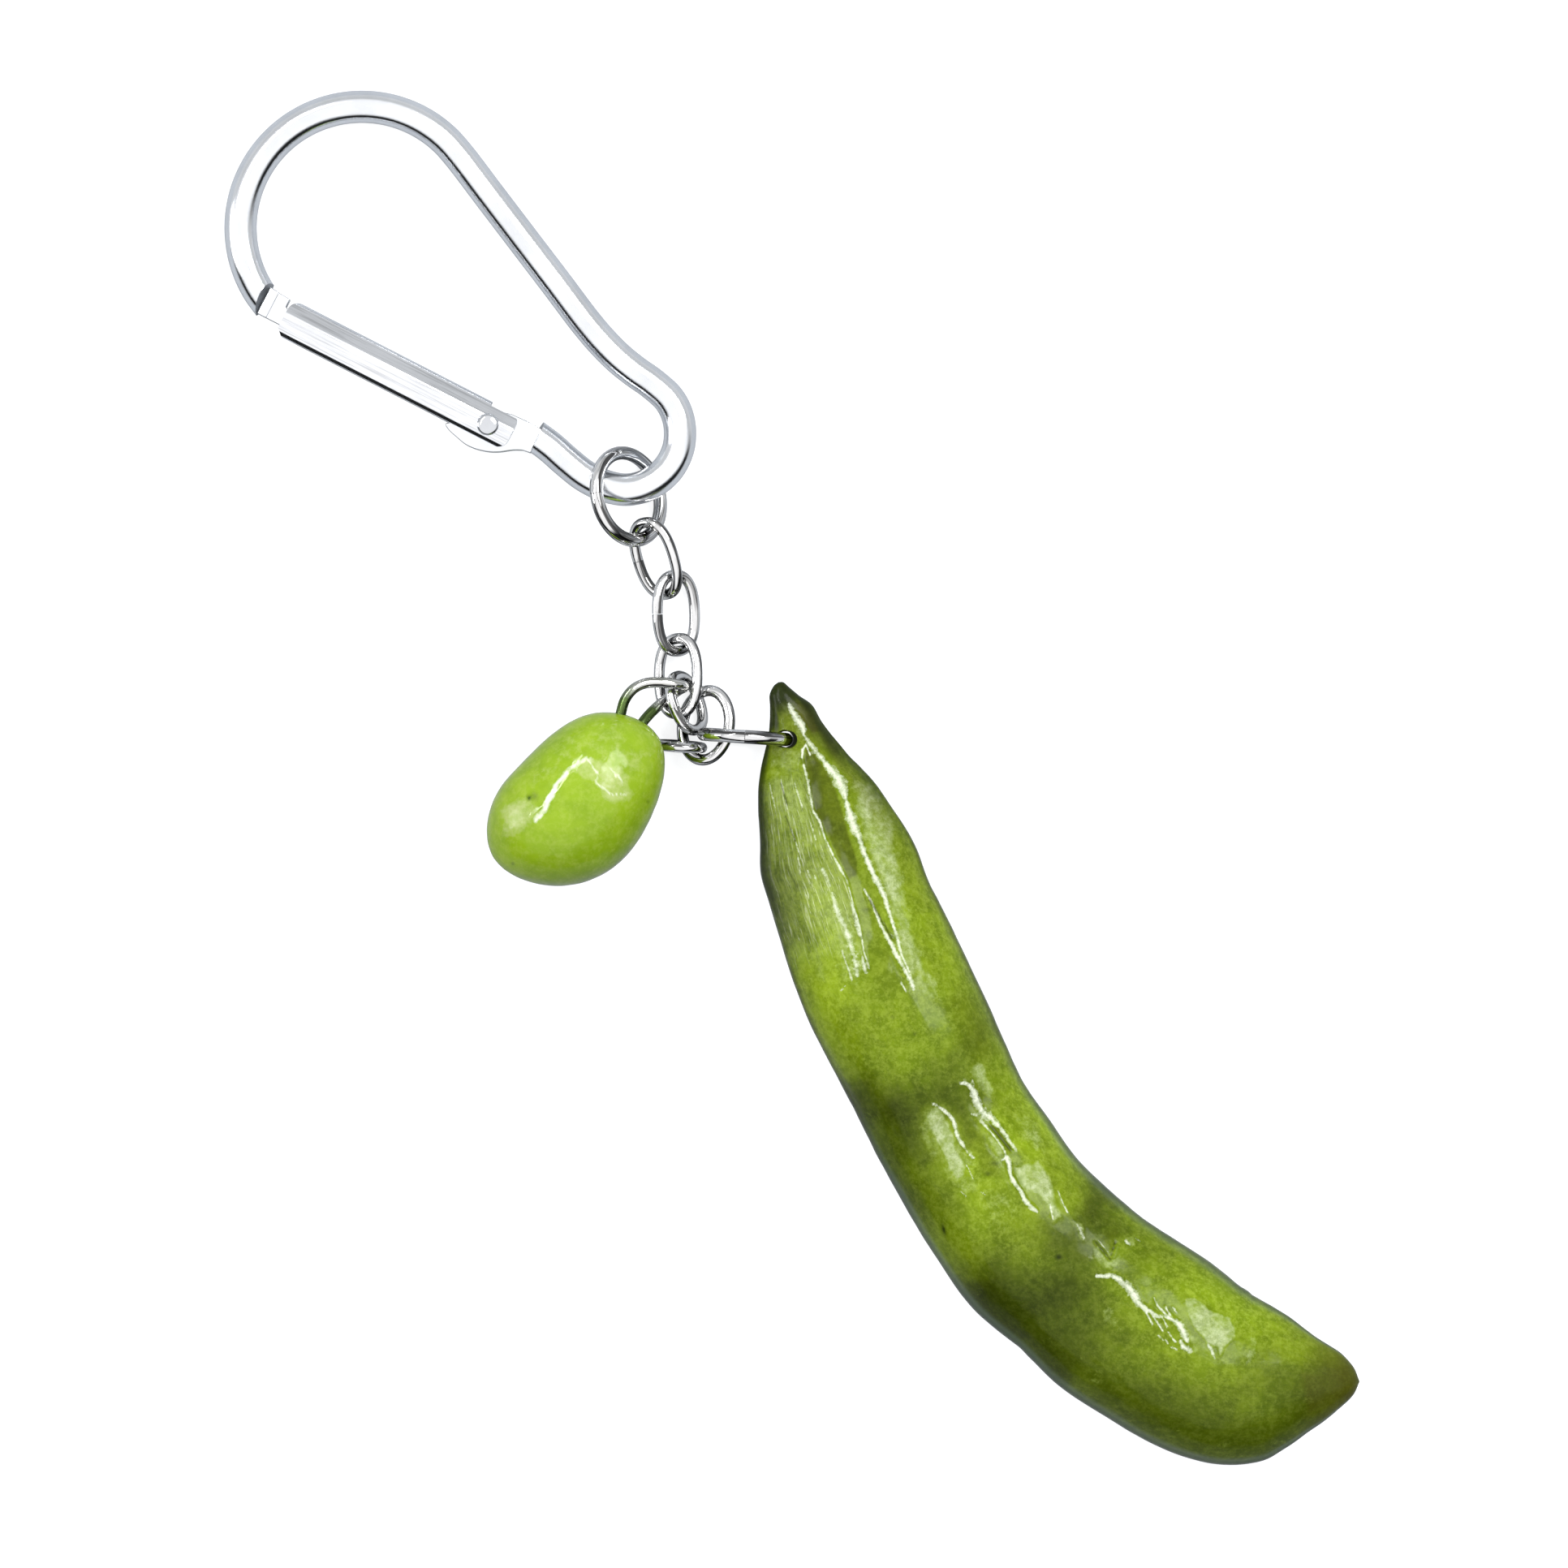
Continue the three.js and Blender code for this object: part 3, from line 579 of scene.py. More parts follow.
# ------------------------------------------------------------------ rings and links
PLACES = {
    "carabiner_ring": ("ring_on_carabiner", (3.3, 3.3, 1.0, 2), (-12.032, 20.675, 2.914), (0.0966, -0.9803, 0.1723), (-0.7045, 0.055, 0.7076)),
    "chain_link_1": ("link_1", (2.82, 1.62, 0.8, 2.4), (-10.024, 16.116, 1.969), (0.2697, -0.9384, -0.2161), (-0.8077, -0.0983, -0.5813)),
    "chain_link_2": ("link_2", (2.82, 1.62, 0.8, 2.4), (-8.519, 12.089, 1.3), (0.0307, -0.9987, -0.041), (-0.843, -0.0479, 0.5358)),
    "chain_link_3": ("link_3", (2.82, 1.62, 0.8, 2.4), (-8.358, 7.434, 1.563), (0.0146, -0.9886, 0.1496), (-0.866, -0.0872, -0.4924)),
    "junction_ring": ("junction", (2.1, 1.62, 0.8, 2.2), (-7.756, 5.432, 1.728), (0.351, -0.9364, 0.0032), (-0.546, -0.2019, 0.8131)),
    "charm_ring": ("ring_of_charms", (2.58, 1.9, 0.84, 2), (-6.308, 3.796, 1.983), (-0.1411, -0.9882, 0.0593), (-0.8975, 0.1024, -0.429)),
    "chain_end_ring": ("end_ring", (1.6, 1.6, 0.78, 2), (-8.194, 2.248, 2.02), (0.9685, -0.083, 0.2348), (-0.2382, -0.0328, 0.9707)),
    "pod_ring": ("ring_of_pod", (3.05, 3.05, 1.0, 2), (-3.42, 2.938, 3.56), (0.9979, -0.0649, 0), (0, 0, 1)),
}
JOINT = 0.0010     # the share of the loop left open where its wire ends meet
for node, (rides, (a, b, wire, n), at, long, short) in PLACES.items():
    t = (JOINT / 2 + np.linspace(0, 1, 241) * (1 - JOINT)) * 2 * math.pi + math.pi / 2
    bend = lambda v: np.sign(v) * np.abs(v) ** (2 / n)
    flat = np.stack([a * bend(np.cos(t)), b * bend(np.sin(t)), 0 * t], axis=1)
    flat = resample(flat, 200)
    x = np.array(long) / np.linalg.norm(long)
    z = np.cross(x, short)
    z /= np.linalg.norm(z)
    y = np.cross(z, x)
    pts = (np.array(at) + np.array([0, SHIFT_Y, 0]) + flat[:, :1] * x + flat[:, 1:2] * y) * MM
    ring = sweep(node + "_wire", pts, wire / 2 * MM, 28, NICKEL)
    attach(ring, rides)
    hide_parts(node)

# ------------------------------------------------------------------ bean charm
EYE = [
    (-13.2, 1.8, 4.6), (-12.84, 3.3, 4.75), (-12.58, 4.62, 4.8), (-12.25, 5.7, 4.75),
    (-11.6, 6.5, 4.6), (-10.73, 6.89, 4.3), (-9.65, 6.95, 3.95), (-8.57, 6.83, 3.6),
    (-7.91, 6.65, 2.7), (-8.39, 6.35, 1.8), (-9.41, 5.58, 2.2), (-10.38, 4.7, 3.25),
    (-11.05, 3.9, 3.95), (-11.75, 2.85, 4.35),
]
eye_path = resample(spline([(x, y + SHIFT_Y, z) for x, y, z in EYE], 20), 260)

m = Mat("painted_eye_wire", Metallic=1.0)
patch = m.noise(m.coord(), 900, 4, 0.6)
lines = m.noise(m.coord((200, 5200, 5200), attr="grain"), 1.0, 4, 0.6)
steel = m.mix(m.ramp(lines, [(0.42, 0.0), (0.6, 1.0)]), (0.78, 0.775, 0.76), (0.30, 0.31, 0.27))
green = m.mix(m.ramp(lines, [(0.4, 0.0), (0.6, 1.0)]), (0.13, 0.20, 0.06), (0.02, 0.036, 0.01))
fade_in = m.ramp(m.math("ADD", m.attr("paint"), m.math("MULTIPLY_ADD", patch, 0.5, -0.25)), [(0.2, 0.0), (0.75, 1.0)])
m.link(m.mix(fade_in, steel, green), "Base Color")
m.link(m.math("MULTIPLY_ADD", fade_in, 0.16, 0.08), "Roughness")
m.link(m.bump(lines, 0.12, 0.00006), "Normal")
eye = sweep("bean_eye_wire", eye_path * MM, 0.39 * MM, 28, m.m)
run_s = np.r_[0, np.cumsum(np.linalg.norm(np.diff(eye_path, axis=0), axis=1))]
near = np.argmin(((coords(eye)[:, None] / MM - eye_path[None, ::2]) ** 2).sum(axis=2), axis=1) * 2
e_s = run_s[near]
set_attr(eye, "paint", np.clip(np.maximum(1.25 - (e_s - 2.2) / 3.6, 1.25 - (run_s[-1] - 1.4 - e_s) / 2.6), 0, 1))
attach(eye, "bean_charm")
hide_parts("bean_eye")

BEAN_AT, BEAN_AXIS, BEAN_THICK = np.array([-15.724, -1.788 + SHIFT_Y]), np.array([-0.7203, -0.6937]), 0.885
BEAN = np.array([
    [-7.64, -0.17, 0], [-7.56, -0.15, 0.69], [-7.33, -0.04, 1.38], [-6.96, 0.07, 2.08], [-6.44, 0.15, 2.75], [-5.79, 0.19, 3.36],
    [-5.02, 0.19, 3.88], [-4.16, 0.14, 4.31], [-3.21, 0.07, 4.65], [-2.2, -0.03, 4.9], [-1.14, -0.13, 5.08], [-0.06, -0.21, 5.17],
    [1.01, -0.23, 5.18], [2.07, -0.19, 5.1], [3.08, -0.09, 4.89], [4.03, 0.01, 4.55], [4.9, 0.12, 4.08], [5.66, 0.22, 3.5],
    [6.31, 0.33, 2.84], [6.83, 0.44, 2.12], [7.21, 0.56, 1.38], [7.44, 0.67, 0.67], [7.51, 0.73, 0],
])
# drawn against the angle from the far end, so that both ends come out round
ends_t = np.linspace(0, math.pi, len(BEAN))
fine_t = np.linspace(0, math.pi, 201)
st = spline([(t, *row) for t, row in zip(ends_t, BEAN)], 9)
st = np.stack([np.interp(fine_t, st[:, 0], st[:, k]) for k in (1, 2, 3)], axis=1)
sides = 128
height = 5.18 * BEAN_THICK + 0.01
verts = []
perp = np.array([BEAN_AXIS[1], -BEAN_AXIS[0]])
for along, shift, half in st[1:-1]:
    c = BEAN_AT + BEAN_AXIS * along + perp * shift
    for a in np.arange(sides) / sides * 2 * math.pi:
        ca, sa = math.cos(a), math.sin(a)
        p = c + perp * half * ca
        verts.append((p[0], p[1], height + half * BEAN_THICK * sa))
for row in (st[0], st[-1]):
    c = BEAN_AT + BEAN_AXIS * row[0] + perp * row[1]
    verts.append((c[0], c[1], height))
verts = np.array(verts)
centre = np.array([BEAN_AT[0], BEAN_AT[1], height])
out = verts - centre
out /= np.linalg.norm(out, axis=1)[:, None]
dents = 0.035 * value_noise(verts, 0.45, 3) + 0.012 * value_noise(verts, 1.6, 5)
verts = verts + out * (dents - 0.03)[:, None]
bean = outward(mesh_object("bean_body", verts * MM, grid_faces(len(st) - 2, sides), None))
for leg in (eye_path[:64], eye_path[-64:]):
    # a socket for each leg of the eye, a little wider than the wire
    first = np.linalg.norm(leg[0] - centre) < np.linalg.norm(leg[-1] - centre)
    inner_end, next_point = (leg[0], leg[1]) if first else (leg[-1], leg[-2])
    extra = inner_end + (inner_end - next_point) / np.linalg.norm(inner_end - next_point) * 0.3
    path = np.vstack([extra[None], leg]) if first else np.vstack([leg, extra[None]])
    boolean(bean, sweep("tool", path * MM, 0.47 * MM, 24, None), "DIFFERENCE")
bean.data.polygons.foreach_set("use_smooth", [True] * len(bean.data.polygons))
bean.data.set_sharp_from_angle(angle=math.radians(40))
p = coords(bean) / MM
rel = p[:, :2] - BEAN_AT
t_, s_ = rel @ BEAN_AXIS, rel @ perp
z_ = p[:, 2] - height
low = step(-(p[:, 1] - BEAN_AT[1]) * 0.8 + (p[:, 0] - BEAN_AT[0]) * 0.35 - 0.15 * z_, 0.2, 6.5)
under_side = step(-z_, -1.5, 3.5)
set_attr(bean, "shade", np.clip(0.75 * low + 0.55 * under_side, 0, 1))
at = p[:, :2]
wob = np.column_stack([0.22 * value_noise(at, 1.6, 71) + 0.1 * value_noise(at, 4.5, 73), 0.22 * value_noise(at, 1.6, 77) + 0.1 * value_noise(at, 4.5, 79)])
up = step(z_, 0.0, 1.0)
# painted highlight: pale patches on top of the bean where the lamps are reflected
painted_highlight = 0.72 * inside(at + wob, px((704, 948), (726, 936), (752, 936), (772, 956), (782, 980), (766, 990), (744, 984), (736, 964), (716, 958)), 0.28)
painted_highlight = np.maximum(painted_highlight, 0.75 * inside(at + wob, px((616, 1000), (632, 986), (650, 984), (660, 1000), (648, 1024), (626, 1030)), 0.5))
painted_highlight = np.maximum(painted_highlight, 0.30 * inside(at + wob, px((640, 985), (700, 905), (760, 895), (800, 930), (790, 960), (720, 925), (680, 960), (655, 1000)), 0.7))
set_attr(bean, "painted_highlight", np.clip(painted_highlight * up, 0, 1))
# painted highlight: the bent glossy streak and two short ones beside it
d_, side_, share_ = distance(at + wob * 0.45, px((656, 1014), (668, 1004), (678, 984), (690, 964), (704, 945), (722, 936), (744, 934)))
highlight_streak = np.exp(-(d_ / 0.17) ** 2) * step(share_, 0.0, 0.06) * (1 - step(share_, 0.72, 1.0))
d_, side_, share_ = distance(at + wob * 0.6, px((726, 938), (738, 952), (736, 966), (752, 976), (772, 980)))
highlight_streak = np.maximum(highlight_streak, 0.6 * np.exp(-(d_ / 0.10) ** 2))
d_, side_, share_ = distance(at + wob * 0.6, px((752, 944), (764, 958), (772, 972)))
highlight_streak = np.maximum(highlight_streak, 0.5 * np.exp(-(d_ / 0.09) ** 2))
set_attr(bean, "highlight_streak", np.clip(highlight_streak * up, 0, 1))
spot = lambda u, v, r: np.exp(-(((p[:, 0] - (u - 975) / 16.68) ** 2 + (p[:, 1] + (v - 957) / 16.68 - SHIFT_Y) ** 2) / r ** 2)) * (z_ > 0)
set_attr(bean, "speck", np.clip(1.2 * spot(653, 983, 0.16) + 0.5 * spot(660, 981, 0.28) + 0.6 * spot(633, 1064, 0.12) + 0.5 * spot(799, 988, 0.12), 0, 1))

m = Mat("bean_paint", Coat_Weight=1.0, Coat_Roughness=0.035, Coat_IOR=1.3, Specular_IOR_Level=0.04)
c = m.coord()
tiny, fine, mid, big = m.noise(c, 4200, 3, 0.7), m.noise(c, 1500, 4, 0.65), m.noise(c, 520, 5, 0.6), m.noise(c, 160, 3, 0.5)
GB = 0.58
base = m.mix(m.ramp(big, [(0.3, 0.0), (0.7, 1.0)]), lin(172, 206, 42, GB), lin(158, 196, 30, GB))
base = m.mix(m.math("MULTIPLY", m.attr("shade"), 0.85), base, lin(114, 152, 8, GB))
base = m.mix(m.math("MULTIPLY", m.ramp(mid, [(0.42, 0.0), (0.7, 1.0)]), 0.38), base, lin(116, 156, 12, GB))
lighter = m.math("ADD", m.math("MULTIPLY", fine, 0.6), m.math("MULTIPLY", tiny, 0.4))
base = m.mix(m.math("MULTIPLY", m.ramp(lighter, [(0.46, 0.0), (0.62, 1.0)]), 0.34), base, lin(200, 222, 100, GB))
broken = m.math("ADD", m.math("MULTIPLY_ADD", mid, 0.7, -0.35), m.math("MULTIPLY_ADD", fine, 0.8, -0.4))
# painted highlight: the pale patches, broken by the grain
base = m.mix(m.math("MULTIPLY", m.ramp(m.math("ADD", m.attr("painted_highlight"), broken), [(0.22, 0.0), (1.0, 1.0)]), m.ramp(lighter, [(0.40, 0.6), (0.62, 1.0)])), base, lin(214, 229, 150, GB))
# painted highlight: near-white glints along the streaks, broken by the grain
painted_glint = m.math("MULTIPLY", m.ramp(m.math("ADD", m.attr("highlight_streak"), broken), [(0.22, 0.0), (0.80, 1.0)]), m.ramp(m.attr("highlight_streak"), [(0.03, 0.0), (0.25, 1.0)]))
base = m.mix(m.math("MULTIPLY", painted_glint, 0.9), base, lin(244, 249, 228, 0.76))
base = m.mix(m.attr("speck"), base, lin(58, 88, 14, G))
m.link(base, "Base Color")
m.link(m.math("MULTIPLY_ADD", mid, 0.2, 0.3), "Roughness")
m.b.inputs["Subsurface Weight"].default_value = 0.1
m.b.inputs["Subsurface Radius"].default_value = (0.6, 1.0, 0.2)
m.b.inputs["Subsurface Scale"].default_value = 0.0008
nb = m.bump(big, 0.4, 0.0003)
m.link(m.bump(fine, 0.06, 0.00008, nb), "Normal")
cb = m.bump(m.noise(c, 260, 2, 0.5), 0.4, 0.00022)
cb = m.bump(m.math("MULTIPLY", mid, m.math("MULTIPLY_ADD", m.attr("painted_highlight"), 0.9, 0.12)), 0.6, 0.0002, cb)
m.t.links.new(cb, m.b.inputs["Coat Normal"])
bean.data.materials.clear()
bean.data.materials.append(m.m)
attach(bean, "bean_charm")
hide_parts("bean")

# ------------------------------------------------------------------ pod charm
POD = np.array([
    [-0.96, 6.98, 3.75, 0, 0], [-0.95, 6.86, 3.75, 0.36, 0.32], [-0.88, 6.33, 3.7, 0.78, 0.66],
    [-0.52, 5.62, 3.65, 1.14, 0.9], [-0.05, 4.72, 3.6, 1.65, 1.05], [0.27, 3.57, 3.6, 2.0, 1.2],
    [0.6, 2.21, 3.62, 2.62, 1.38], [0.93, 0.73, 3.7, 3.32, 1.68], [1.38, -0.71, 3.85, 4.0, 2.14],
    [1.96, -2.2, 4.0, 4.54, 2.45], [2.51, -3.69, 4.15, 5.0, 2.75], [3.02, -5.39, 4.35, 5.51, 3.05],
    [3.78, -7.24, 4.5, 5.72, 3.35], [4.58, -9.62, 4.7, 5.8, 3.7], [5.61, -12.24, 4.85, 6.04, 4.05],
    [7.06, -15.63, 4.94, 6.2, 4.5], [8.69, -18.95, 4.95, 6.14, 4.75], [10.28, -22.25, 4.95, 6.02, 4.55],
    [11.9, -25.59, 4.95, 5.99, 4.3], [13.84, -28.74, 4.95, 6.16, 4.62], [15.86, -31.81, 4.95, 6.29, 4.9],
    [18.25, -34.67, 4.95, 6.57, 4.75], [21.06, -37.08, 4.95, 6.51, 4.45], [23.86, -39.42, 4.95, 6.82, 4.7],
    [26.99, -41.48, 4.95, 6.8, 4.95], [30.11, -43.5, 4.95, 6.57, 4.75], [32.54, -44.41, 4.94, 6.35, 4.4],
    [34.67, -44.6, 4.93, 5.84, 3.8], [36.54, -44.57, 4.92, 4.82, 3.1], [38.16, -44.59, 4.91, 3.66, 2.4],
    [39.56, -44.54, 4.9, 2.72, 1.8], [40.7, -44.5, 4.9, 1.85, 1.25], [41.5, -44.55, 4.9, 0.95, 0.65],
    [41.9, -44.6, 4.9, 0, 0],
])
line = spline(POD, 14)
keep = np.r_[True, np.linalg.norm(np.diff(line[:, :2], axis=0), axis=1) > 1e-5]
line = line[keep]
arc_s = np.r_[0, np.cumsum(np.linalg.norm(np.diff(line[:, :2], axis=0), axis=1))]
LENGTH = arc_s[-1]
# stations are closer together near both ends, where the outline turns fast
u = np.linspace(0, 1, 545)
s_at = LENGTH * (0.5 - 0.5 * np.cos(u * math.pi)) * 0.35 + LENGTH * u * 0.65
rows = np.stack([np.interp(s_at, arc_s, line[:, k]) for k in range(5)], axis=1)
# the direction of the body, smoothed so that the sections do not fan out
smooth_line = np.stack([np.interp(s_at, arc_s, line[:, k]) for k in range(2)], axis=1)
run = np.stack([np.interp(s_at + 1.6, arc_s, line[:, k]) - np.interp(s_at - 1.6, arc_s, line[:, k]) for k in range(2)], axis=1)
run[s_at < 1.6] = run[np.argmax(s_at >= 1.6)]
run[s_at > LENGTH - 1.6] = run[len(s_at) - 1 - np.argmax(s_at[::-1] <= LENGTH - 1.6)]
run /= np.linalg.norm(run, axis=1)[:, None]
side_dir = np.stack([-run[:, 1], run[:, 0]], axis=1)

# raised ribs: places, height in mm, width in mm
RIDGE = px((992, 917), (989, 922), (988, 930), (990, 942), (995, 962), (998, 980), (1002, 1000), (1010, 1012), (1016, 1032), (1027, 1055), (1035, 1070), (1040, 1080), (1045, 1090), (1051, 1115), (1056, 1130), (1061, 1152), (1064, 1172), (1071, 1192))
RIBS = [
    (RIDGE, 0.10, 0.13),
    (px((972, 867), (984, 888), (993, 905), (1001, 922), (1010, 930), (1018, 942), (1030, 955), (1038, 968), (1042, 985), (1046, 1000), (1052, 1015), (1060, 1037), (1066, 1055), (1075, 1075), (1085, 1095), (1090, 1110), (1097, 1132), (1105, 1155), (1110, 1175), (1120, 1195), (1125, 1217)), 0.17, 0.28),
    (px((1064, 1095), (1074, 1112), (1085, 1140), (1097, 1162), (1107, 1182), (1120, 1205)), 0.07, 0.11),
    (px((1154, 1360), (1161, 1366), (1169, 1373), (1174, 1379), (1177, 1393), (1180, 1401), (1186, 1411), (1197, 1423)), 0.09, 0.12),
    (px((1182, 1333), (1189, 1333), (1196, 1338), (1202, 1347), (1205, 1359), (1209, 1365), (1214, 1371), (1224, 1379), (1232, 1387), (1240, 1401), (1248, 1413), (1251, 1417)), 0.12, 0.18),
    (px((1200, 1373), (1208, 1383), (1218, 1391), (1228, 1403), (1236, 1415), (1238, 1423)), 0.06, 0.10),
    (px((1236, 1425), (1242, 1433), (1244, 1445), (1250, 1457), (1258, 1469), (1264, 1479), (1277, 1491)), 0.12, 0.16),
    (px((1349, 1569), (1358, 1570), (1368, 1569), (1378, 1574), (1386, 1580), (1394, 1588), (1400, 1600), (1408, 1608), (1416, 1612), (1424, 1618), (1440, 1622), (1448, 1628), (1454, 1636), (1458, 1644), (1463, 1660)), 0.14, 0.22),
    (px((1410, 1614), (1418, 1629)), 0.05, 0.08), (px((1417, 1616), (1430, 1636)), 0.05, 0.08), (px((1420, 1596), (1424, 1606), (1432, 1614)), 0.05, 0.08),
    (px((1434, 1608), (1440, 1618)), 0.05, 0.08), (px((1443, 1608), (1448, 1615)), 0.05, 0.08), (px((1424, 1642), (1432, 1648)), 0.05, 0.08),
    (px((1302, 1465), (1308, 1480), (1317, 1494)), 0.04, 0.08),
]
# sunk creases: places, depth in mm, width in mm
CREASES = [
    (px((1071, 1108), (1085, 1132), (1098, 1155)), 0.10, 0.08),
    (px((1219, 1385), (1231, 1399), (1244, 1415)), 0.08, 0.12),
    (px((1348, 1528), (1357, 1538), (1366, 1549)), 0.10, 0.08),
    (px((1373, 1527), (1370, 1536), (1367, 1543)), 0.10, 0.08),
    (px((968, 1006), (980, 1036)), 0.04, 0.06), (px((962, 965), (970, 992)), 0.04, 0.06), (px((968, 1066), (982, 1092)), 0.04, 0.06),
]
# pale patches of painted highlight: corners, strength, softness in mm
HIGHLIGHT_PATCHES = [
    (px((1248, 1437), (1260, 1433), (1278, 1429), (1288, 1443), (1294, 1455), (1298, 1475), (1306, 1497), (1296, 1503), (1290, 1485), (1278, 1469), (1264, 1465), (1256, 1457)), 0.74, 0.16),
    (px((1153, 1361), (1146, 1365), (1140, 1375), (1148, 1393), (1154, 1407), (1163, 1421), (1168, 1437), (1178, 1451), (1188, 1447), (1189, 1437), (1184, 1425), (1176, 1415), (1174, 1397), (1168, 1381), (1160, 1369)), 0.80, 0.12),
    (px((1130, 1385), (1145, 1365), (1160, 1366), (1180, 1395), (1196, 1430), (1203, 1466), (1188, 1474), (1160, 1440), (1140, 1415)), 0.36, 0.3),
    (px((1193, 1319), (1202, 1308), (1210, 1311), (1214, 1321), (1224, 1343), (1220, 1353), (1210, 1343), (1200, 1331)), 0.62, 0.16),
    (px((1216, 1398), (1226, 1404), (1237, 1418), (1230, 1422), (1219, 1412)), 0.5, 0.12),
    (px((1050, 955), (1075, 965), (1100, 1020), (1108, 1080), (1120, 1140), (1138, 1195), (1112, 1195), (1098, 1130), (1078, 1070), (1058, 1010)), 0.66, 0.4),
    (px((1112, 1195), (1142, 1192), (1160, 1215), (1150, 1225), (1126, 1222)), 0.48, 0.25),
    (px((1022, 1110), (1040, 1105), (1052, 1140), (1062, 1175), (1066, 1205), (1046, 1208), (1032, 1160)), 0.42, 0.25),
    (px((944, 952), (985, 948), (994, 985), (1006, 1010), (988, 1020), (952, 990)), 0.34, 0.4),
    (px((995, 1060), (1020, 1070), (1035, 1100), (1045, 1130), (1060, 1200), (1040, 1205), (1020, 1150), (1005, 1100)), 0.34, 0.4),
    (px((962, 868), (974, 866), (990, 892), (1004, 925), (985, 910)), 0.4, 0.15),
    (px((950, 915), (985, 925), (990, 946), (948, 944)), 0.35, 0.2),
    (px((1322, 1500), (1332, 1505), (1338, 1528), (1328, 1526)), 0.45, 0.15),
    (px((1344, 1536), (1352, 1532), (1362, 1550), (1372, 1548), (1379, 1540), (1380, 1550), (1370, 1561), (1356, 1561), (1349, 1550)), 0.52, 0.12),
    (px((1385, 1522), (1396, 1522), (1398, 1534), (1388, 1534)), 0.42, 0.12),
    (px((1458, 1596), (1468, 1595), (1480, 1604), (1492, 1614), (1512, 1620), (1520, 1636), (1518, 1648), (1506, 1656), (1501, 1668), (1496, 1656), (1488, 1654), (1476, 1640), (1466, 1628), (1460, 1614)), 0.70, 0.10),
    (px((1464, 1640), (1476, 1644), (1472, 1668), (1464, 1662)), 0.34, 0.15),
    (px((1538, 1643), (1547, 1645), (1545, 1668), (1534, 1678)), 0.45, 0.12),
    (px((1354, 1604), (1372, 1606), (1380, 1632), (1362, 1634)), 0.34, 0.25),
    (px((1200, 1465), (1245, 1470), (1262, 1510), (1215, 1512)), 0.26, 0.4),
    (px((1245, 1370), (1275, 1385), (1290, 1425), (1262, 1415)), 0.34, 0.3),
]
# darker olive regions of painted shade, with a painted dark reflection in the valley beside the ridge
OLIVE_SHADES = [
    (px((993, 922), (1003, 928), (1022, 955), (1030, 975), (1038, 1000), (1046, 1030), (1056, 1060), (1056, 1078), (1046, 1084), (1030, 1052), (1014, 1016), (1004, 1000), (996, 960), (990, 940)), 1.0, 0.10),
    (px((1050, 1080), (1070, 1090), (1100, 1170), (1118, 1220), (1084, 1225), (1066, 1170)), 0.30, 0.3),
    (px((1160, 1235), (1200, 1225), (1225, 1290), (1205, 1310), (1180, 1270)), 0.45, 0.4),
    (px((1186, 1374), (1206, 1384), (1226, 1424), (1232, 1450), (1205, 1440)), 0.55, 0.2),
    (px((1219, 1385), (1228, 1385), (1246, 1412), (1240, 1416)), 0.8, 0.08),
    (px((1350, 1515), (1376, 1515), (1372, 1535), (1362, 1540)), 0.6, 0.2),
]
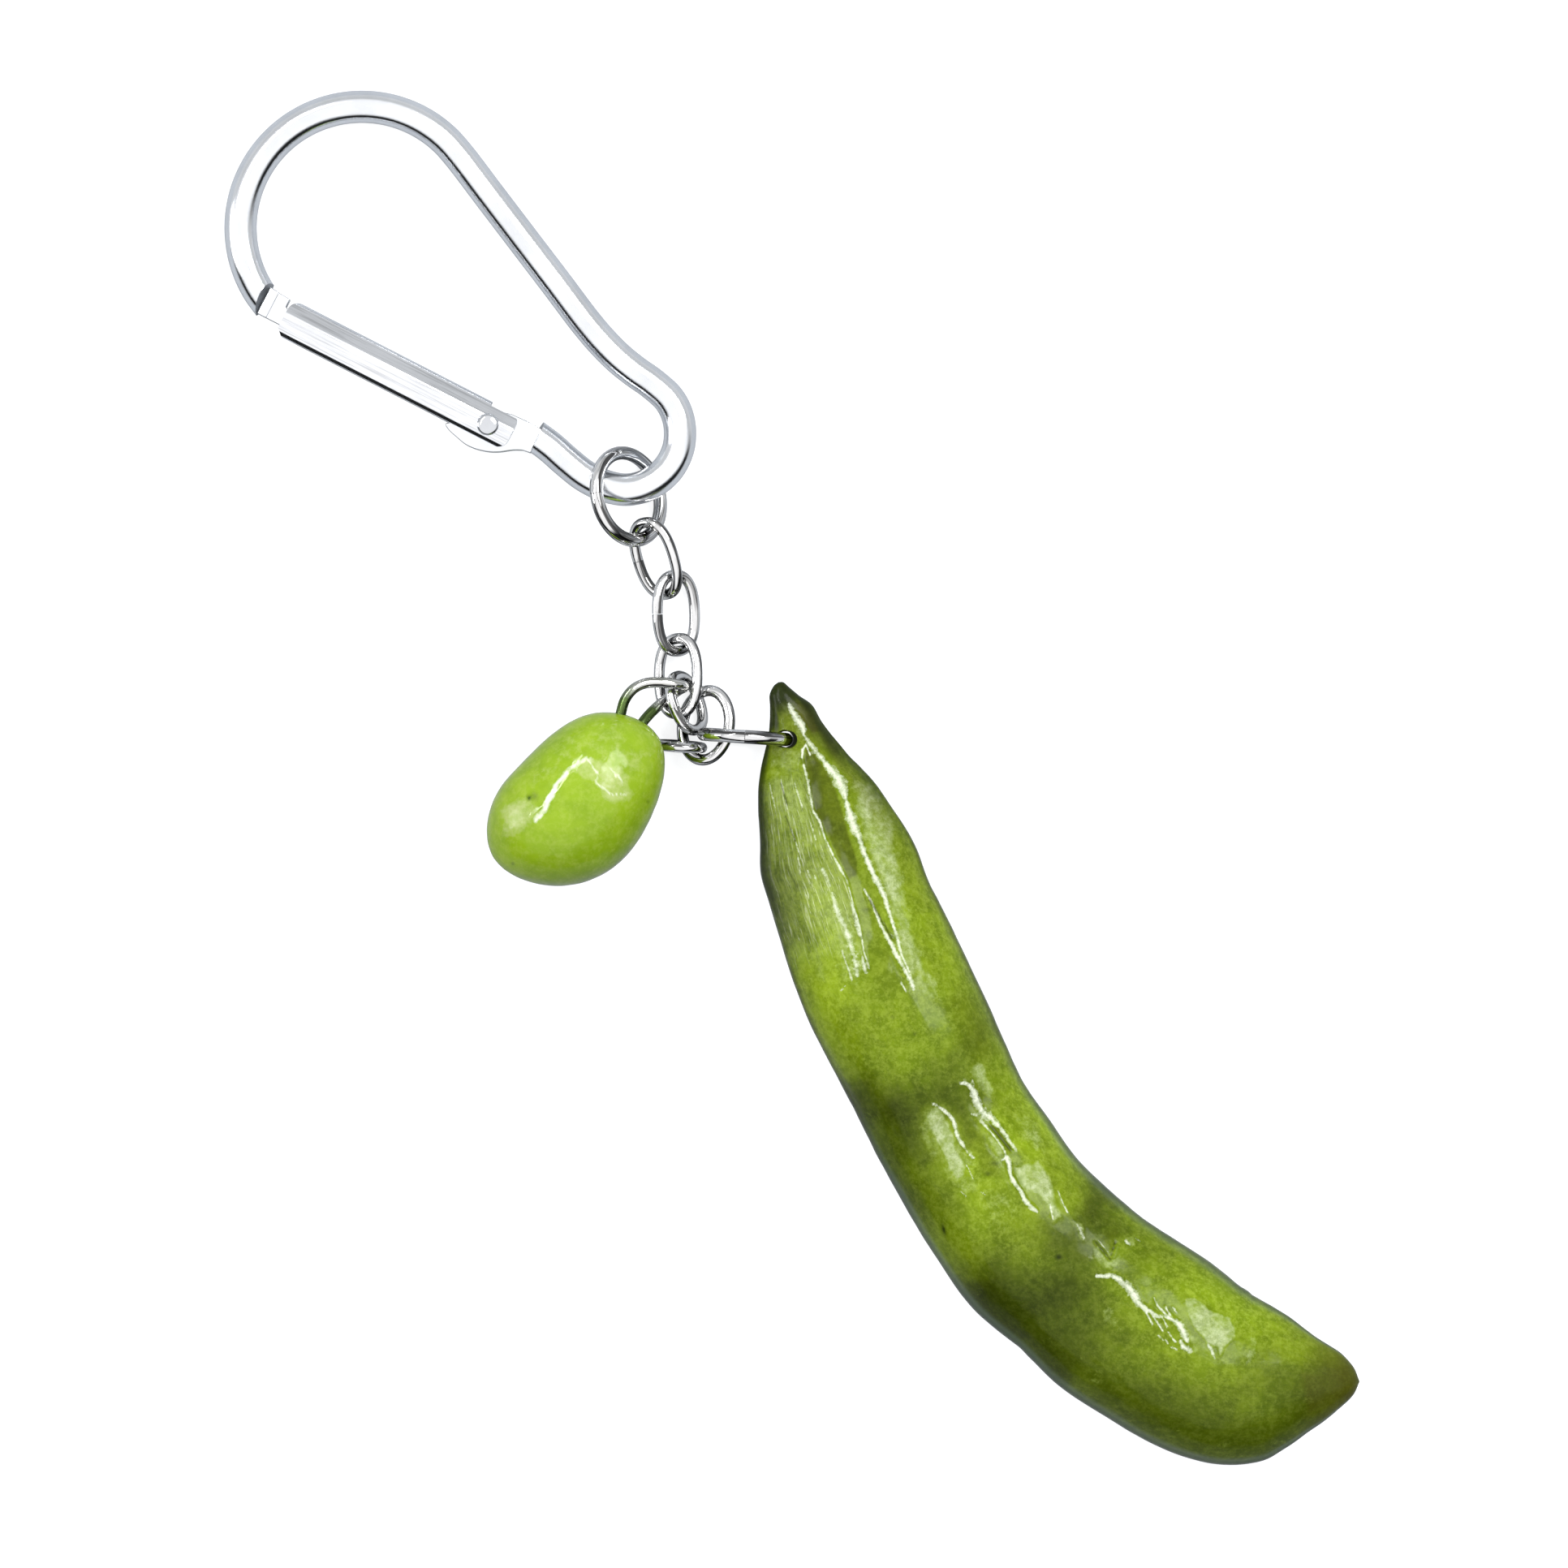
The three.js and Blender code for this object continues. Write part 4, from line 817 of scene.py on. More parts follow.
# thin strokes of painted highlight along the ribs, each through (x, y, half its width) in the units of px
HIGHLIGHT_STROKES = [
    (0.95, [(998, 930, 1.0), (993, 918, 1.2), (989, 924, 1.6), (988, 934, 1.2)]),
    (0.72, [(990, 942, 1.2), (995, 962, 2.2), (998, 980, 2.6), (1002, 1000, 1.4)]),
    (0.90, [(1002, 1000, 1.6), (1010, 1012, 1.6), (1016, 1032, 1.1), (1027, 1055, 1.3), (1035, 1070, 1.6), (1039, 1077, 1.4)]),
    (0.86, [(1041, 1080, 1.2), (1045, 1090, 1.0), (1051, 1115, 1.0), (1056, 1130, 1.2), (1061, 1152, 1.0), (1064, 1172, 0.9), (1071, 1193, 1.0)]),
    (0.72, [(1048, 1112, 1.5), (1052, 1122, 3.0), (1056, 1140, 3.0), (1060, 1155, 1.5)]),
    (0.88, [(972, 868, 2), (977, 878, 3.5), (985, 890, 5), (990, 899, 4), (990, 905, 1.5)]),
    (0.76, [(990, 905, 1.5), (997, 916, 3.0), (1003, 924, 4.0), (1011, 933, 3.0), (1018, 942, 3.5)]),
    (0.84, [(1018, 942, 3.5), (1030, 956, 6.0), (1036, 966, 7.5), (1040, 976, 5), (1042, 985, 2.2)]),
    (0.84, [(1042, 985, 2), (1045, 998, 4), (1049, 1010, 7), (1054, 1022, 5), (1060, 1037, 3)]),
    (0.86, [(1060, 1037, 3), (1066, 1055, 3), (1075, 1075, 3), (1082, 1090, 3.6), (1090, 1106, 3.0), (1097, 1130, 2.2), (1105, 1155, 2.0), (1110, 1175, 1.6)]),
    (0.84, [(1110, 1175, 1.2), (1120, 1196, 1.2)]),
    (0.88, [(1064, 1095, 1.2), (1074, 1112, 1.4), (1085, 1140, 2.0), (1097, 1162, 2.6), (1107, 1182, 2.4), (1115, 1195, 2.0), (1121, 1206, 3.0), (1125, 1217, 2.4)]),
    (0.62, [(1013, 1070, 2.5), (1022, 1090, 3)]),
    (0.68, [(1025, 1100, 2), (1030, 1120, 3), (1040, 1140, 3.5), (1047, 1160, 4), (1053, 1180, 4.5), (1056, 1202, 3)]),
    (0.70, [(1037, 1170, 1.5), (1050, 1208, 1.5)]), (0.76, [(1062, 1178, 1.5), (1066, 1196, 3)]),
    (0.90, [(1148, 1358, 1.2), (1154, 1360, 1.2), (1161, 1366, 1.8), (1169, 1373, 2.2), (1174, 1379, 2.0), (1177, 1393, 2.0), (1180, 1401, 2.0), (1184, 1407, 2.6), (1187, 1411, 1.6)]),
    (0.90, [(1194, 1421, 1.5), (1198, 1424, 2.2)]), (0.78, [(1187, 1411, 0.9), (1192, 1420, 0.9)]),
    (0.86, [(1182, 1333, 1.4), (1186, 1333, 2.4), (1192, 1334, 2.0), (1196, 1339, 3.0), (1200, 1349, 5), (1204, 1358, 5), (1207, 1364, 3.0), (1209, 1368, 4)]),
    (0.82, [(1209, 1368, 5.5), (1214, 1372, 6), (1221, 1377, 4), (1228, 1384, 3.0), (1234, 1391, 2.6), (1240, 1400, 2.2), (1248, 1412, 1.8), (1251, 1417, 1.6)]),
    (0.84, [(1196, 1371, 1.2), (1203, 1373, 1.5)]), (0.78, [(1197, 1330, 1.8), (1199, 1334, 1.8)]),
    (0.82, [(1208, 1380, 2), (1218, 1391, 1.4), (1228, 1403, 1.2), (1236, 1415, 1.2), (1238, 1422, 1.4)]),
    (0.90, [(1233, 1427, 1.2), (1239, 1424, 2.4), (1242, 1432, 3.2), (1243, 1445, 2.2), (1250, 1457, 2.4), (1258, 1468, 2.6), (1262, 1478, 2.8), (1270, 1486, 2.6), (1277, 1491, 1.4)]),
    (0.88, [(1349, 1569, 2.0), (1358, 1570, 2.2), (1368, 1569, 3.0), (1378, 1574, 3.6), (1386, 1581, 4.4), (1394, 1591, 5.2), (1401, 1602, 4.0), (1408, 1609, 3.0), (1416, 1613, 2.4)]),
    (0.84, [(1416, 1613, 2), (1424, 1619, 2), (1433, 1618, 1.6), (1440, 1622, 2), (1447, 1626, 3)]),
    (0.86, [(1447, 1624, 3), (1452, 1632, 4.5), (1457, 1641, 4.5), (1460, 1649, 2)]), (0.86, [(1452, 1648, 2), (1455, 1656, 3), (1463, 1660, 3.5)]),
    (0.90, [(1410, 1614, 1.2), (1418, 1629, 1.2)]), (0.86, [(1417, 1616, 1.2), (1430, 1636, 1.1)]), (0.86, [(1420, 1596, 1.0), (1424, 1606, 1.4), (1432, 1614, 1.4), (1440, 1622, 1.2)]),
    (0.84, [(1434, 1608, 1.2), (1440, 1618, 1.2)]), (0.90, [(1443, 1608, 1.4), (1448, 1615, 1.2)]), (0.86, [(1434, 1648, 1.4), (1437, 1652, 1.4)]), (0.88, [(1443, 1647, 1.4), (1446, 1650, 1.6)]),
    (0.84, [(1440, 1656, 1.2), (1448, 1659, 1.3)]), (0.76, [(1424, 1642, 1.0), (1432, 1648, 1.0)]), (0.78, [(1431, 1622, 1.0), (1436, 1632, 1.0)]), (0.78, [(1437, 1638, 1.0), (1441, 1643, 1.0)]),
    (0.72, [(1486, 1654, 2), (1490, 1660, 2.5), (1494, 1670, 1.5)]), (0.70, [(1352, 1526, 0.9), (1363, 1540, 0.9)]),
    (0.70, [(1386, 1528, 2.5), (1390, 1531, 2.5)]), (0.62, [(1398, 1524, 1.2), (1404, 1528, 1.2)]), (0.62, [(1326, 1506, 1.5), (1330, 1514, 2.5), (1334, 1524, 1.5)]),
    (0.70, [(1302, 1465, 0.9), (1308, 1480, 1.0), (1314, 1492, 1.0)]), (0.72, [(1292, 1480, 1.0), (1296, 1500, 1.2)]), (0.74, [(1036, 1219, 1.0), (1041, 1214, 1.0)]),
    (0.80, [(1108, 1207, 1.0), (1116, 1221, 1.2)]), (0.66, [(1183, 1466, 1.2), (1189, 1472, 1.4)]), (0.64, [(1189, 1432, 1.0), (1198, 1450, 1.0)]), (0.66, [(1208, 1466, 1.2), (1213, 1470, 1.2)]),
    (0.62, [(962, 960, 1.2), (970, 997, 1.2)]), (0.62, [(979, 965, 1.2), (989, 997, 1.2)]), (0.66, [(975, 1022, 1.0), (987, 1057, 1.0)]), (0.68, [(998, 1012, 1.0), (1005, 1035, 1.0)]),
    (0.66, [(983, 1056, 1.0), (986, 1075, 1.0)]), (0.68, [(995, 1072, 1.0), (999, 1082, 1.2)]), (0.66, [(1002, 1078, 1.0), (1006, 1084, 1.0)]), (0.56, [(948, 965, 1.2), (955, 995, 1.2)]),
]
# painted light and shade: the colour is darkened or lightened along these lines: places, reach in mm, gain
PAINTED_SHADING = [
    (px((1046, 1350), (1072, 1398), (1096, 1448), (1115, 1480)), 1.5, 0.42),
    (px((1062, 1345), (1105, 1362), (1150, 1350), (1190, 1350)), 1.4, 0.52),
    (px((1098, 1368), (1115, 1412)), 1.3, 0.60),
    (px((1110, 1370), (1128, 1410), (1140, 1455), (1158, 1495)), 1.8, 0.76),
    (px((1180, 1365), (1192, 1402)), 0.5, 0.66),
    (px((1122, 1398), (1138, 1424)), 1.0, 0.80),
    (px((1350, 1488), (1376, 1514)), 0.9, 0.74),
    (px((1205, 1600), (1240, 1630), (1275, 1660), (1296, 1684)), 2.0, 0.30),
    (px((1230, 1575), (1270, 1592), (1310, 1600), (1330, 1640)), 2.4, 0.46),
    (px((1290, 1600), (1320, 1570)), 1.6, 0.62),
    (px((1300, 1522), (1330, 1530), (1345, 1495), (1360, 1468)), 1.4, 0.44),
    (px((1350, 1600), (1390, 1650)), 1.4, 0.78),
    (px((1365, 1715), (1410, 1738), (1480, 1765), (1550, 1770), (1610, 1745), (1660, 1700)), 2.1, 0.44),
    (px((1420, 1700), (1490, 1720), (1560, 1700), (1620, 1690)), 1.5, 0.72),
    (px((1560, 1680), (1590, 1712)), 1.5, 0.76),
    (px((1385, 1515), (1420, 1540), (1395, 1560)), 1.3, 0.74),
    (px((1470, 1585), (1510, 1605), (1555, 1625)), 1.3, 1.26),
    (px((1258, 1335), (1285, 1385), (1320, 1420)), 1.0, 1.34),
    (px((1232, 1385), (1256, 1410), (1275, 1425)), 0.8, 1.28),
    (px((1195, 1430), (1205, 1480), (1200, 1520)), 1.3, 1.22),
    (px((1105, 1125), (1150, 1150), (1172, 1172)), 1.3, 1.14),
    (px((1022, 1110), (1035, 1155), (1045, 1200)), 1.1, 1.2),
    (px((1000, 1205), (1030, 1245)), 1.4, 1.12),
    (px((938, 1010), (944, 1070), (958, 1120), (975, 1150)), 1.2, 0.60),
    (px((960, 1085), (980, 1060), (982, 1112)), 1.0, 0.76),
    (px((1155, 1322), (1185, 1302), (1212, 1268)), 1.3, 0.70),
    (px((985, 880), (1005, 900), (1030, 925)), 0.8, 0.66),
    (px((1000, 945), (1006, 985), (1022, 1025)), 0.5, 0.70),
    (px((1084, 1135), (1090, 1160)), 0.45, 1.25),
    (px((1085, 1270), (1115, 1320)), 1.2, 1.06),
    (px((1000, 1130), (1010, 1180), (1025, 1230)), 1.6, 1.16),
]


def on_top(lens_height, thickness):
    return step(lens_height / np.maximum(thickness, 0.3), 0.15, 0.4)


# more sections lie on the upper side, where the relief is
UPPER, LOWER = 150, 24
SIDES = UPPER + LOWER
share = np.arange(UPPER) / UPPER
around = np.r_[0.45 * share * math.pi + 0.55 * np.arccos(1 - 2 * share), math.pi + np.arange(LOWER) / LOWER * math.pi]
cosines, sines = np.cos(around), np.sin(around)
ss = np.repeat(s_at[1:-1], SIDES)
half = np.repeat(rows[1:-1, 3], SIDES)
thick = np.repeat(rows[1:-1, 4], SIDES)
ca, sa = np.tile(cosines, len(rows) - 2), np.tile(sines, len(rows) - 2)
x = half * ca
zc = thick * np.sign(sa) * np.abs(sa) ** 1.1      # the edges are a little pinched, as two shells meet there
top = on_top(zc, thick)
base_xy = np.repeat(rows[1:-1, :2], SIDES, axis=0)
sd = np.repeat(side_dir[1:-1], SIDES, axis=0)
zz = np.repeat(rows[1:-1, 2], SIDES)
flat_place = base_xy + sd * x[:, None]
flat_place[:, 1] += SHIFT_Y
q = np.abs(x) / np.maximum(half, 0.3)

h = np.zeros_like(ss)
for pts, high, wide in RIBS:
    d_, side_, share_ = distance(flat_place, pts)
    along = step(share_, 0.0, 0.06) * (1 - step(share_, 0.94, 1.0)) if len(pts) > 2 else 1.0
    h += high * np.exp(-(d_ / wide) ** 1.4) * along
for pts, deep, wide in CREASES:
    d_, side_, share_ = distance(flat_place, pts)
    h -= deep * np.exp(-(d_ / wide) ** 1.6)
# a valley between the ridge and the second rib, and a long swell beside it
d_, side_, share_ = distance(flat_place, RIDGE)
right = d_ * (side_ > 0)
h -= 0.16 * bell(right, 1.0, 0.5) * (side_ > 0) * step(share_, 0.05, 0.2) * (1 - step(share_, 0.85, 1.0))
h -= 0.07 * (side_ < 0) * step(d_, 0.1, 0.5) * step(share_, 0.03, 0.1) * (1 - step(share_, 0.8, 1.0))
# seeds and the waists between them
for c_, w_, a_ in ((26.5, 3.8, 0.16), (42.0, 3.4, 0.20), (58.5, 4.4, 0.20)):
    h += a_ * bell(ss, c_, w_) * bell(x, 0.3, 2.9) * (0.3 + 0.7 * top)
for c_, a_ in ((34.2, 0.26), (50.6, 0.26)):
    h -= a_ * bell(ss, c_, 1.9) * bell(x, -1.2, 3.2) * (0.3 + 0.7 * top)
# hammered, uneven lacquer in the pale patches
for pts, strength, soft in HIGHLIGHT_PATCHES[:8]:
    w_ = inside(flat_place, pts, soft) * strength
    h += 0.03 * w_ * value_noise(flat_place, 2.6, 23) + 0.012 * w_ * value_noise(flat_place, 6.0, 29)
h *= top
# the seam down both edges
h += 0.07 * step(q, 0.955, 0.995) * step(ss, 2, 6) * (1 - step(ss, LENGTH - 5, LENGTH - 2))
h *= step(ss, 0.3, 2.0) * (1 - step(ss, LENGTH - 4, LENGTH - 0.5))
h += (0.028 * value_noise(np.stack([ss * 0.35, x * 0.7, zc * 0.5], axis=1), 1.0, 11) + 0.016 * value_noise(np.stack([ss * 1.1, x * 2.0, zc], axis=1), 1.0, 17)) * step(ss, 0.5, 3)
nx, nz = ca / np.maximum(half, 0.3), sa / np.maximum(thick, 0.3)
nl = np.sqrt(nx * nx + nz * nz)
P = np.column_stack([base_xy + sd * (x + nx / nl * h)[:, None], zz + np.maximum(zc + nz / nl * h, -thick * 0.999)])
P = np.vstack([P, [rows[0, 0], rows[0, 1], rows[0, 2]], [rows[-1, 0], rows[-1, 1], rows[-1, 2]]])
P[:, 1] += SHIFT_Y
P[:, 2] = np.maximum(P[:, 2], 0.0)
pod = outward(mesh_object("pod_body", P * MM, grid_faces(len(rows) - 2, SIDES), None))


def bored(ob, x_, y_, r_, z0, z1):
    tool = cylinder(r_, z0, z1, 64)
    transform(tool, Matrix.Scale(MM, 4) @ Matrix.Translation((x_, y_ + SHIFT_Y, 0)))
    boolean(ob, tool, "DIFFERENCE")


# the hole is narrower below its middle, so it is dark round the wire
bored(pod, -0.20, 2.74, 0.63, 3.2, 12)
bored(pod, -0.62, 2.76, 0.63, 3.6, 12)
bored(pod, -0.46, 2.77, 0.57, -2, 3.7)
# and it is opened along the ring's wire, as far as the pod turns about it
for turn in range(-36, 19, 9):
    c_, s_ = math.cos(math.radians(turn)), math.sin(math.radians(turn))
    bend_ = np.linspace(-1.0, 1.0, 41)
    wire_ = np.column_stack([-3.42 + 3.05 * 0.9979 * np.cos(bend_), 2.938 - 3.05 * 0.0649 * np.cos(bend_), 3.56 + 3.05 * np.sin(bend_)])
    pin = np.array([-0.28, 2.737])
    wire_[:, :2] = pin + (wire_[:, :2] - pin) @ np.array([[c_, s_], [-s_, c_]])
    wire_[:, 1] += SHIFT_Y
    boolean(pod, sweep("tool", wire_ * MM, 0.53 * MM, 24, None), "DIFFERENCE")
pod.data.polygons.foreach_set("use_smooth", [True] * len(pod.data.polygons))
pod.data.set_sharp_from_angle(angle=math.radians(48))

# where each vertex is along and across the pod
p = coords(pod) / MM
p[:, 1] -= SHIFT_Y
near = np.empty(len(p), int)
for k in range(0, len(p), 8000):
    near[k : k + 8000] = np.argmin(((p[k : k + 8000, None, :2] - rows[None, :, :2]) ** 2).sum(axis=2), axis=1)
S = s_at[near]
off = p[:, :2] - rows[near, :2]
S = S + (off * run[near]).sum(axis=1)
X = (off * side_dir[near]).sum(axis=1)
HALF = np.maximum(np.interp(S, s_at, rows[:, 3]), 0.3)
THICK = np.maximum(np.interp(S, s_at, rows[:, 4]), 0.3)
Zr = p[:, 2] - np.interp(S, s_at, rows[:, 2])
TOP = step(Zr / THICK, 0.02, 0.3)
Q = X / HALF
at = p[:, :2] + np.array([0, SHIFT_Y])
flow_dir, side_of = run[near], side_dir[near]
ripple = 0.42 * value_noise(at, 0.9, 41) + 0.22 * value_noise(at, 2.3, 43) + 0.10 * value_noise(at, 5.5, 47)
ripple2 = 0.22 * value_noise(at, 1.1, 51) + 0.12 * value_noise(at, 2.9, 53) + 0.06 * value_noise(at, 6.5, 57)
warped = at + flow_dir * ripple[:, None] + side_of * ripple2[:, None]
d_ridge, side_ridge, share_ridge = distance(at, RIDGE)
across = np.where(S < 22, -side_ridge * d_ridge * 1.0, Q * 6)
set_attr(pod, "flow", np.column_stack([S, Q * 6.0, Zr * 0.3]))

neck = 1 - step(S, 2.0, 6.5)
right_edge, left_edge = step(Q, 0.70, 0.98), step(-Q, 0.82, 0.97)
dark = 0.95 * neck * np.maximum(step(Q, 0.25, 0.8), 1 - step(S, 1.3, 3.3))
dark = np.maximum(dark, 0.75 * right_edge * (1 - step(S, 8, 18)))
dark = np.maximum(dark, 0.85 * step(Q, 0.50, 0.85) * (1 - step(S, 4.5, 10)))
dark = np.maximum(dark, 0.9 * step(-Q, 0.45, 0.7) * (1 - step(S, 2.8, 4.0)))
dark = np.maximum(dark, 0.85 * left_edge * (1 - step(S, 14, 20)))
dark = np.maximum(dark, 0.55 * step(np.abs(Q), 0.93, 1.0))
set_attr(pod, "dark", np.clip(dark, 0, 1))

olive_shade = np.zeros_like(S)
for pts, strength, soft in OLIVE_SHADES:
    olive_shade = np.maximum(olive_shade, strength * inside(warped if soft > 0.15 else at, pts, soft * 1.5) * TOP)
# painted shade on the lower left side and underneath
olive_shade = np.maximum(olive_shade, 0.35 * step(-Q, 0.3, 0.9) * step(S, 36, 42))
olive_shade = np.maximum(olive_shade, 0.6 * (1 - TOP))
set_attr(pod, "olive_shade", np.clip(olive_shade, 0, 1))

ragged = at + flow_dir * (0.10 * value_noise(at, 3.0, 71))[:, None] + side_of * (0.05 * value_noise(at, 3.6, 73))[:, None]
# painted highlight in the pale patches
painted_highlight = np.zeros_like(S)
for pts, strength, soft in HIGHLIGHT_PATCHES:
    painted_highlight = np.maximum(painted_highlight, strength * inside(warped if soft > 0.22 else ragged, pts, soft * 1.4) * TOP)
set_attr(pod, "painted_highlight", np.clip(painted_highlight * (1 - 0.85 * step(olive_shade, 0.3, 0.9)), 0, 1))


def stroke(points, strength):
    """1 along the middle of a stroke, a half at its edge, 0 at twice its width."""
    line_points = px(*[(u_, v_) for u_, v_, w_ in points])
    steps = np.r_[0, np.cumsum(np.linalg.norm(np.diff(line_points, axis=0), axis=1))]
    d_, _, share_ = distance(at, line_points)
    wide = np.interp(share_, steps / steps[-1], [w_ / 16.68 for _, _, w_ in points])
    return strength * np.clip(1 - d_ / (2 * wide), 0, 1) * TOP


# painted highlight along the ribs
rib_highlight = np.zeros_like(S)
for strength, points in HIGHLIGHT_STROKES:
    rib_highlight = np.maximum(rib_highlight, stroke(points, strength))
set_attr(pod, "rib_highlight", np.clip(rib_highlight, 0, 1))
# painted light and shade, as a gain on the colour
painted_shading = np.zeros_like(S)
for pts, reach, gain in PAINTED_SHADING:
    d_, _, _ = distance(warped, pts)
    painted_shading += math.log(gain) * np.exp(-((d_ / reach) ** 2))
set_attr(pod, "painted_shading", np.clip(np.exp(painted_shading), 0.2, 1.6) / 2)
# painted shade in the sunk creases and round the hole
cut = np.zeros_like(S)
for pts, deep, wide in CREASES:
    d_, _, _ = distance(at, pts)
    cut = np.maximum(cut, np.exp(-(d_ / (wide * 0.9)) ** 2) * TOP)
cut = np.maximum(cut, ((p[:, 0] + 0.20) ** 2 + (p[:, 1] - 2.74) ** 2 < 0.655 ** 2) * 0.7)
set_attr(pod, "crease_shade", np.clip(cut, 0, 1))
fibre = TOP * (side_ridge < 0) * step(d_ridge, 0.02, 0.2) * step(share_ridge, 0.10, 0.16) * (1 - step(S, 17.5, 21.0)) * step(-Q, -0.4, -0.1)
set_attr(pod, "fibre", np.clip(fibre, 0, 1))

brown = step(S, LENGTH - 5.5, LENGTH - 0.5) * 0.9
brown = np.maximum(brown, inside(at, px((975, 862), (998, 868), (1010, 900), (1002, 905), (985, 885)), 0.2) * TOP)
brown = np.maximum(brown, 0.5 * bell(Q, 0.76, 0.09) * (1 - step(S, 8, 20)) * step(S, 3, 5))
brown = np.maximum(brown, 0.6 * inside(at, px((1600, 1688), (1668, 1690), (1660, 1720), (1610, 1742)), 0.4) * TOP)
brown = np.maximum(brown, 0.45 * (1 - step(S, 3.5, 8.0)) * TOP)
set_attr(pod, "brown", np.clip(brown, 0, 1))
# a pale bluish rim along the edges: a painted reflection of the bright surroundings
rim = step(np.abs(Q), 0.90, 0.985) * step(S, 30, 38) * np.where(Q < 0, 1.0, 0.6)
set_attr(pod, "rim", np.clip(rim, 0, 1))


def spot_px(u_, v_, ru, rv, turn=0.0):
    """A small mark at a place seen from above."""
    dx, dy = at[:, 0] - (u_ - 975) / 16.68, at[:, 1] - SHIFT_Y + (v_ - 957) / 16.68
    c_, s__ = math.cos(turn), math.sin(turn)
    a_, b_ = dx * c_ + dy * s__, -dx * s__ + dy * c_
    return np.exp(-((a_ / ru) ** 2 + (b_ / rv) ** 2)) * TOP


speck = spot_px(1162, 1513, 0.14, 0.42, 0.25) + spot_px(1303, 1546, 0.22, 0.2) + 0.7 * spot_px(1216, 1444, 0.22, 0.16) + 0.6 * spot_px(1224, 1431, 0.3, 0.14)
speck += 0.6 * spot_px(1099, 1252, 0.16, 0.1) + 0.5 * spot_px(1126, 1272, 0.16, 0.12) + 0.5 * spot_px(1068, 1120, 0.3, 0.12)
set_attr(pod, "speck", np.clip(speck, 0, 1))

m = Mat("lacquered_pod", Coat_Weight=1.0, Coat_Roughness=0.13, Coat_IOR=1.19, Specular_IOR_Level=0.02)
c = m.coord()
tiny, fine, mid, big = m.noise(c, 4600, 3, 0.7), m.noise(c, 1900, 4, 0.7), m.noise(c, 620, 5, 0.62, 0.4), m.noise(c, 150, 4, 0.55, 0.3)
strand = m.noise(m.coord((0.55, 3.4, 1.0), attr="flow"), 1.0, 5, 0.7, 0.5)
thread = m.noise(m.coord((0.5, 7.0, 1.0), attr="flow"), 1.0, 5, 0.7, 0.5)
GP = 0.62
base = m.mix(m.ramp(big, [(0.32, 0.0), (0.68, 1.0)]), lin(122, 148, 14, GP), lin(144, 168, 30, GP))
base = m.mix(m.math("MULTIPLY", m.ramp(strand, [(0.38, 0.0), (0.66, 1.0)]), 0.5), base, lin(106, 132, 6, GP))
olive_shade_now = m.attr("olive_shade")
# darker olive: painted shade, and a painted dark reflection beside the ridge
base = m.mix(olive_shade_now, base, m.mix(m.ramp(mid, [(0.35, 0.0), (0.65, 1.0)]), lin(98, 114, 0, GP), lin(78, 92, 0, GP)))
# fibres: pale and dark threads over a greyer green
panel = m.mix(m.ramp(strand, [(0.38, 0.0), (0.60, 1.0)]), lin(112, 134, 26, GP), lin(164, 184, 90, GP))
panel = m.mix(m.ramp(thread, [(0.54, 0.0), (0.62, 0.95)]), panel, lin(222, 232, 180, GP))
panel = m.mix(m.ramp(thread, [(0.30, 0.8), (0.40, 0.0)]), panel, lin(84, 104, 16, GP))
base = m.mix(m.math("MULTIPLY", m.attr("fibre"), 0.9), base, panel)
# uneven lacquer: soft darker clouds and finer lighter ones
base = m.mix(m.math("MULTIPLY", m.math("MULTIPLY", m.ramp(mid, [(0.40, 0.0), (0.64, 1.0)]), m.math("SUBTRACT", 1.0, m.attr("olive_shade"))), 0.58), base, lin(84, 106, 0, GP))
lighter = m.math("ADD", m.math("MULTIPLY", fine, 0.6), m.math("MULTIPLY", tiny, 0.4))
base = m.mix(m.math("MULTIPLY", m.math("MULTIPLY", m.ramp(lighter, [(0.45, 0.0), (0.60, 1.0)]), m.math("MULTIPLY_ADD", m.attr("olive_shade"), -0.7, 1.0)), 0.5), base, lin(168, 190, 66, GP))
# painted light and shade multiplies the colour
painted_shading = m.attr("painted_shading")
shading_gain = m.node("ShaderNodeCombineXYZ", {"X": painted_shading, "Y": painted_shading, "Z": painted_shading}).outputs[0]
base = m.mix(1.0, base, m.mix(1.0, shading_gain, (2, 2, 2), "MULTIPLY"), "MULTIPLY")
# pale patches of painted highlight, their edges broken by the grain
grain_now = m.math("ADD", m.math("MULTIPLY_ADD", mid, 0.8, -0.40), m.math("MULTIPLY_ADD", fine, 0.9, -0.45))
painted_highlight_now = m.ramp(m.math("ADD", m.attr("painted_highlight"), grain_now), [(0.18, 0.0), (0.95, 1.0)])
cloud = m.ramp(lighter, [(0.40, 0.55), (0.62, 1.0)])
base = m.mix(m.math("MULTIPLY", painted_highlight_now, cloud), base, m.mix(painted_highlight_now, lin(172, 196, 84, GP), lin(206, 220, 168, GP)))
base = m.mix(m.math("MULTIPLY", m.attr("brown"), 0.62), base, lin(80, 70, 22, G * 0.9))
# painted reflection along the edges
base = m.mix(m.math("MULTIPLY", m.attr("rim"), 0.55), base, lin(128, 150, 130, G * 0.9))
base = m.mix(m.math("MULTIPLY", m.attr("dark"), 0.96), base, lin(20, 29, 12, G))
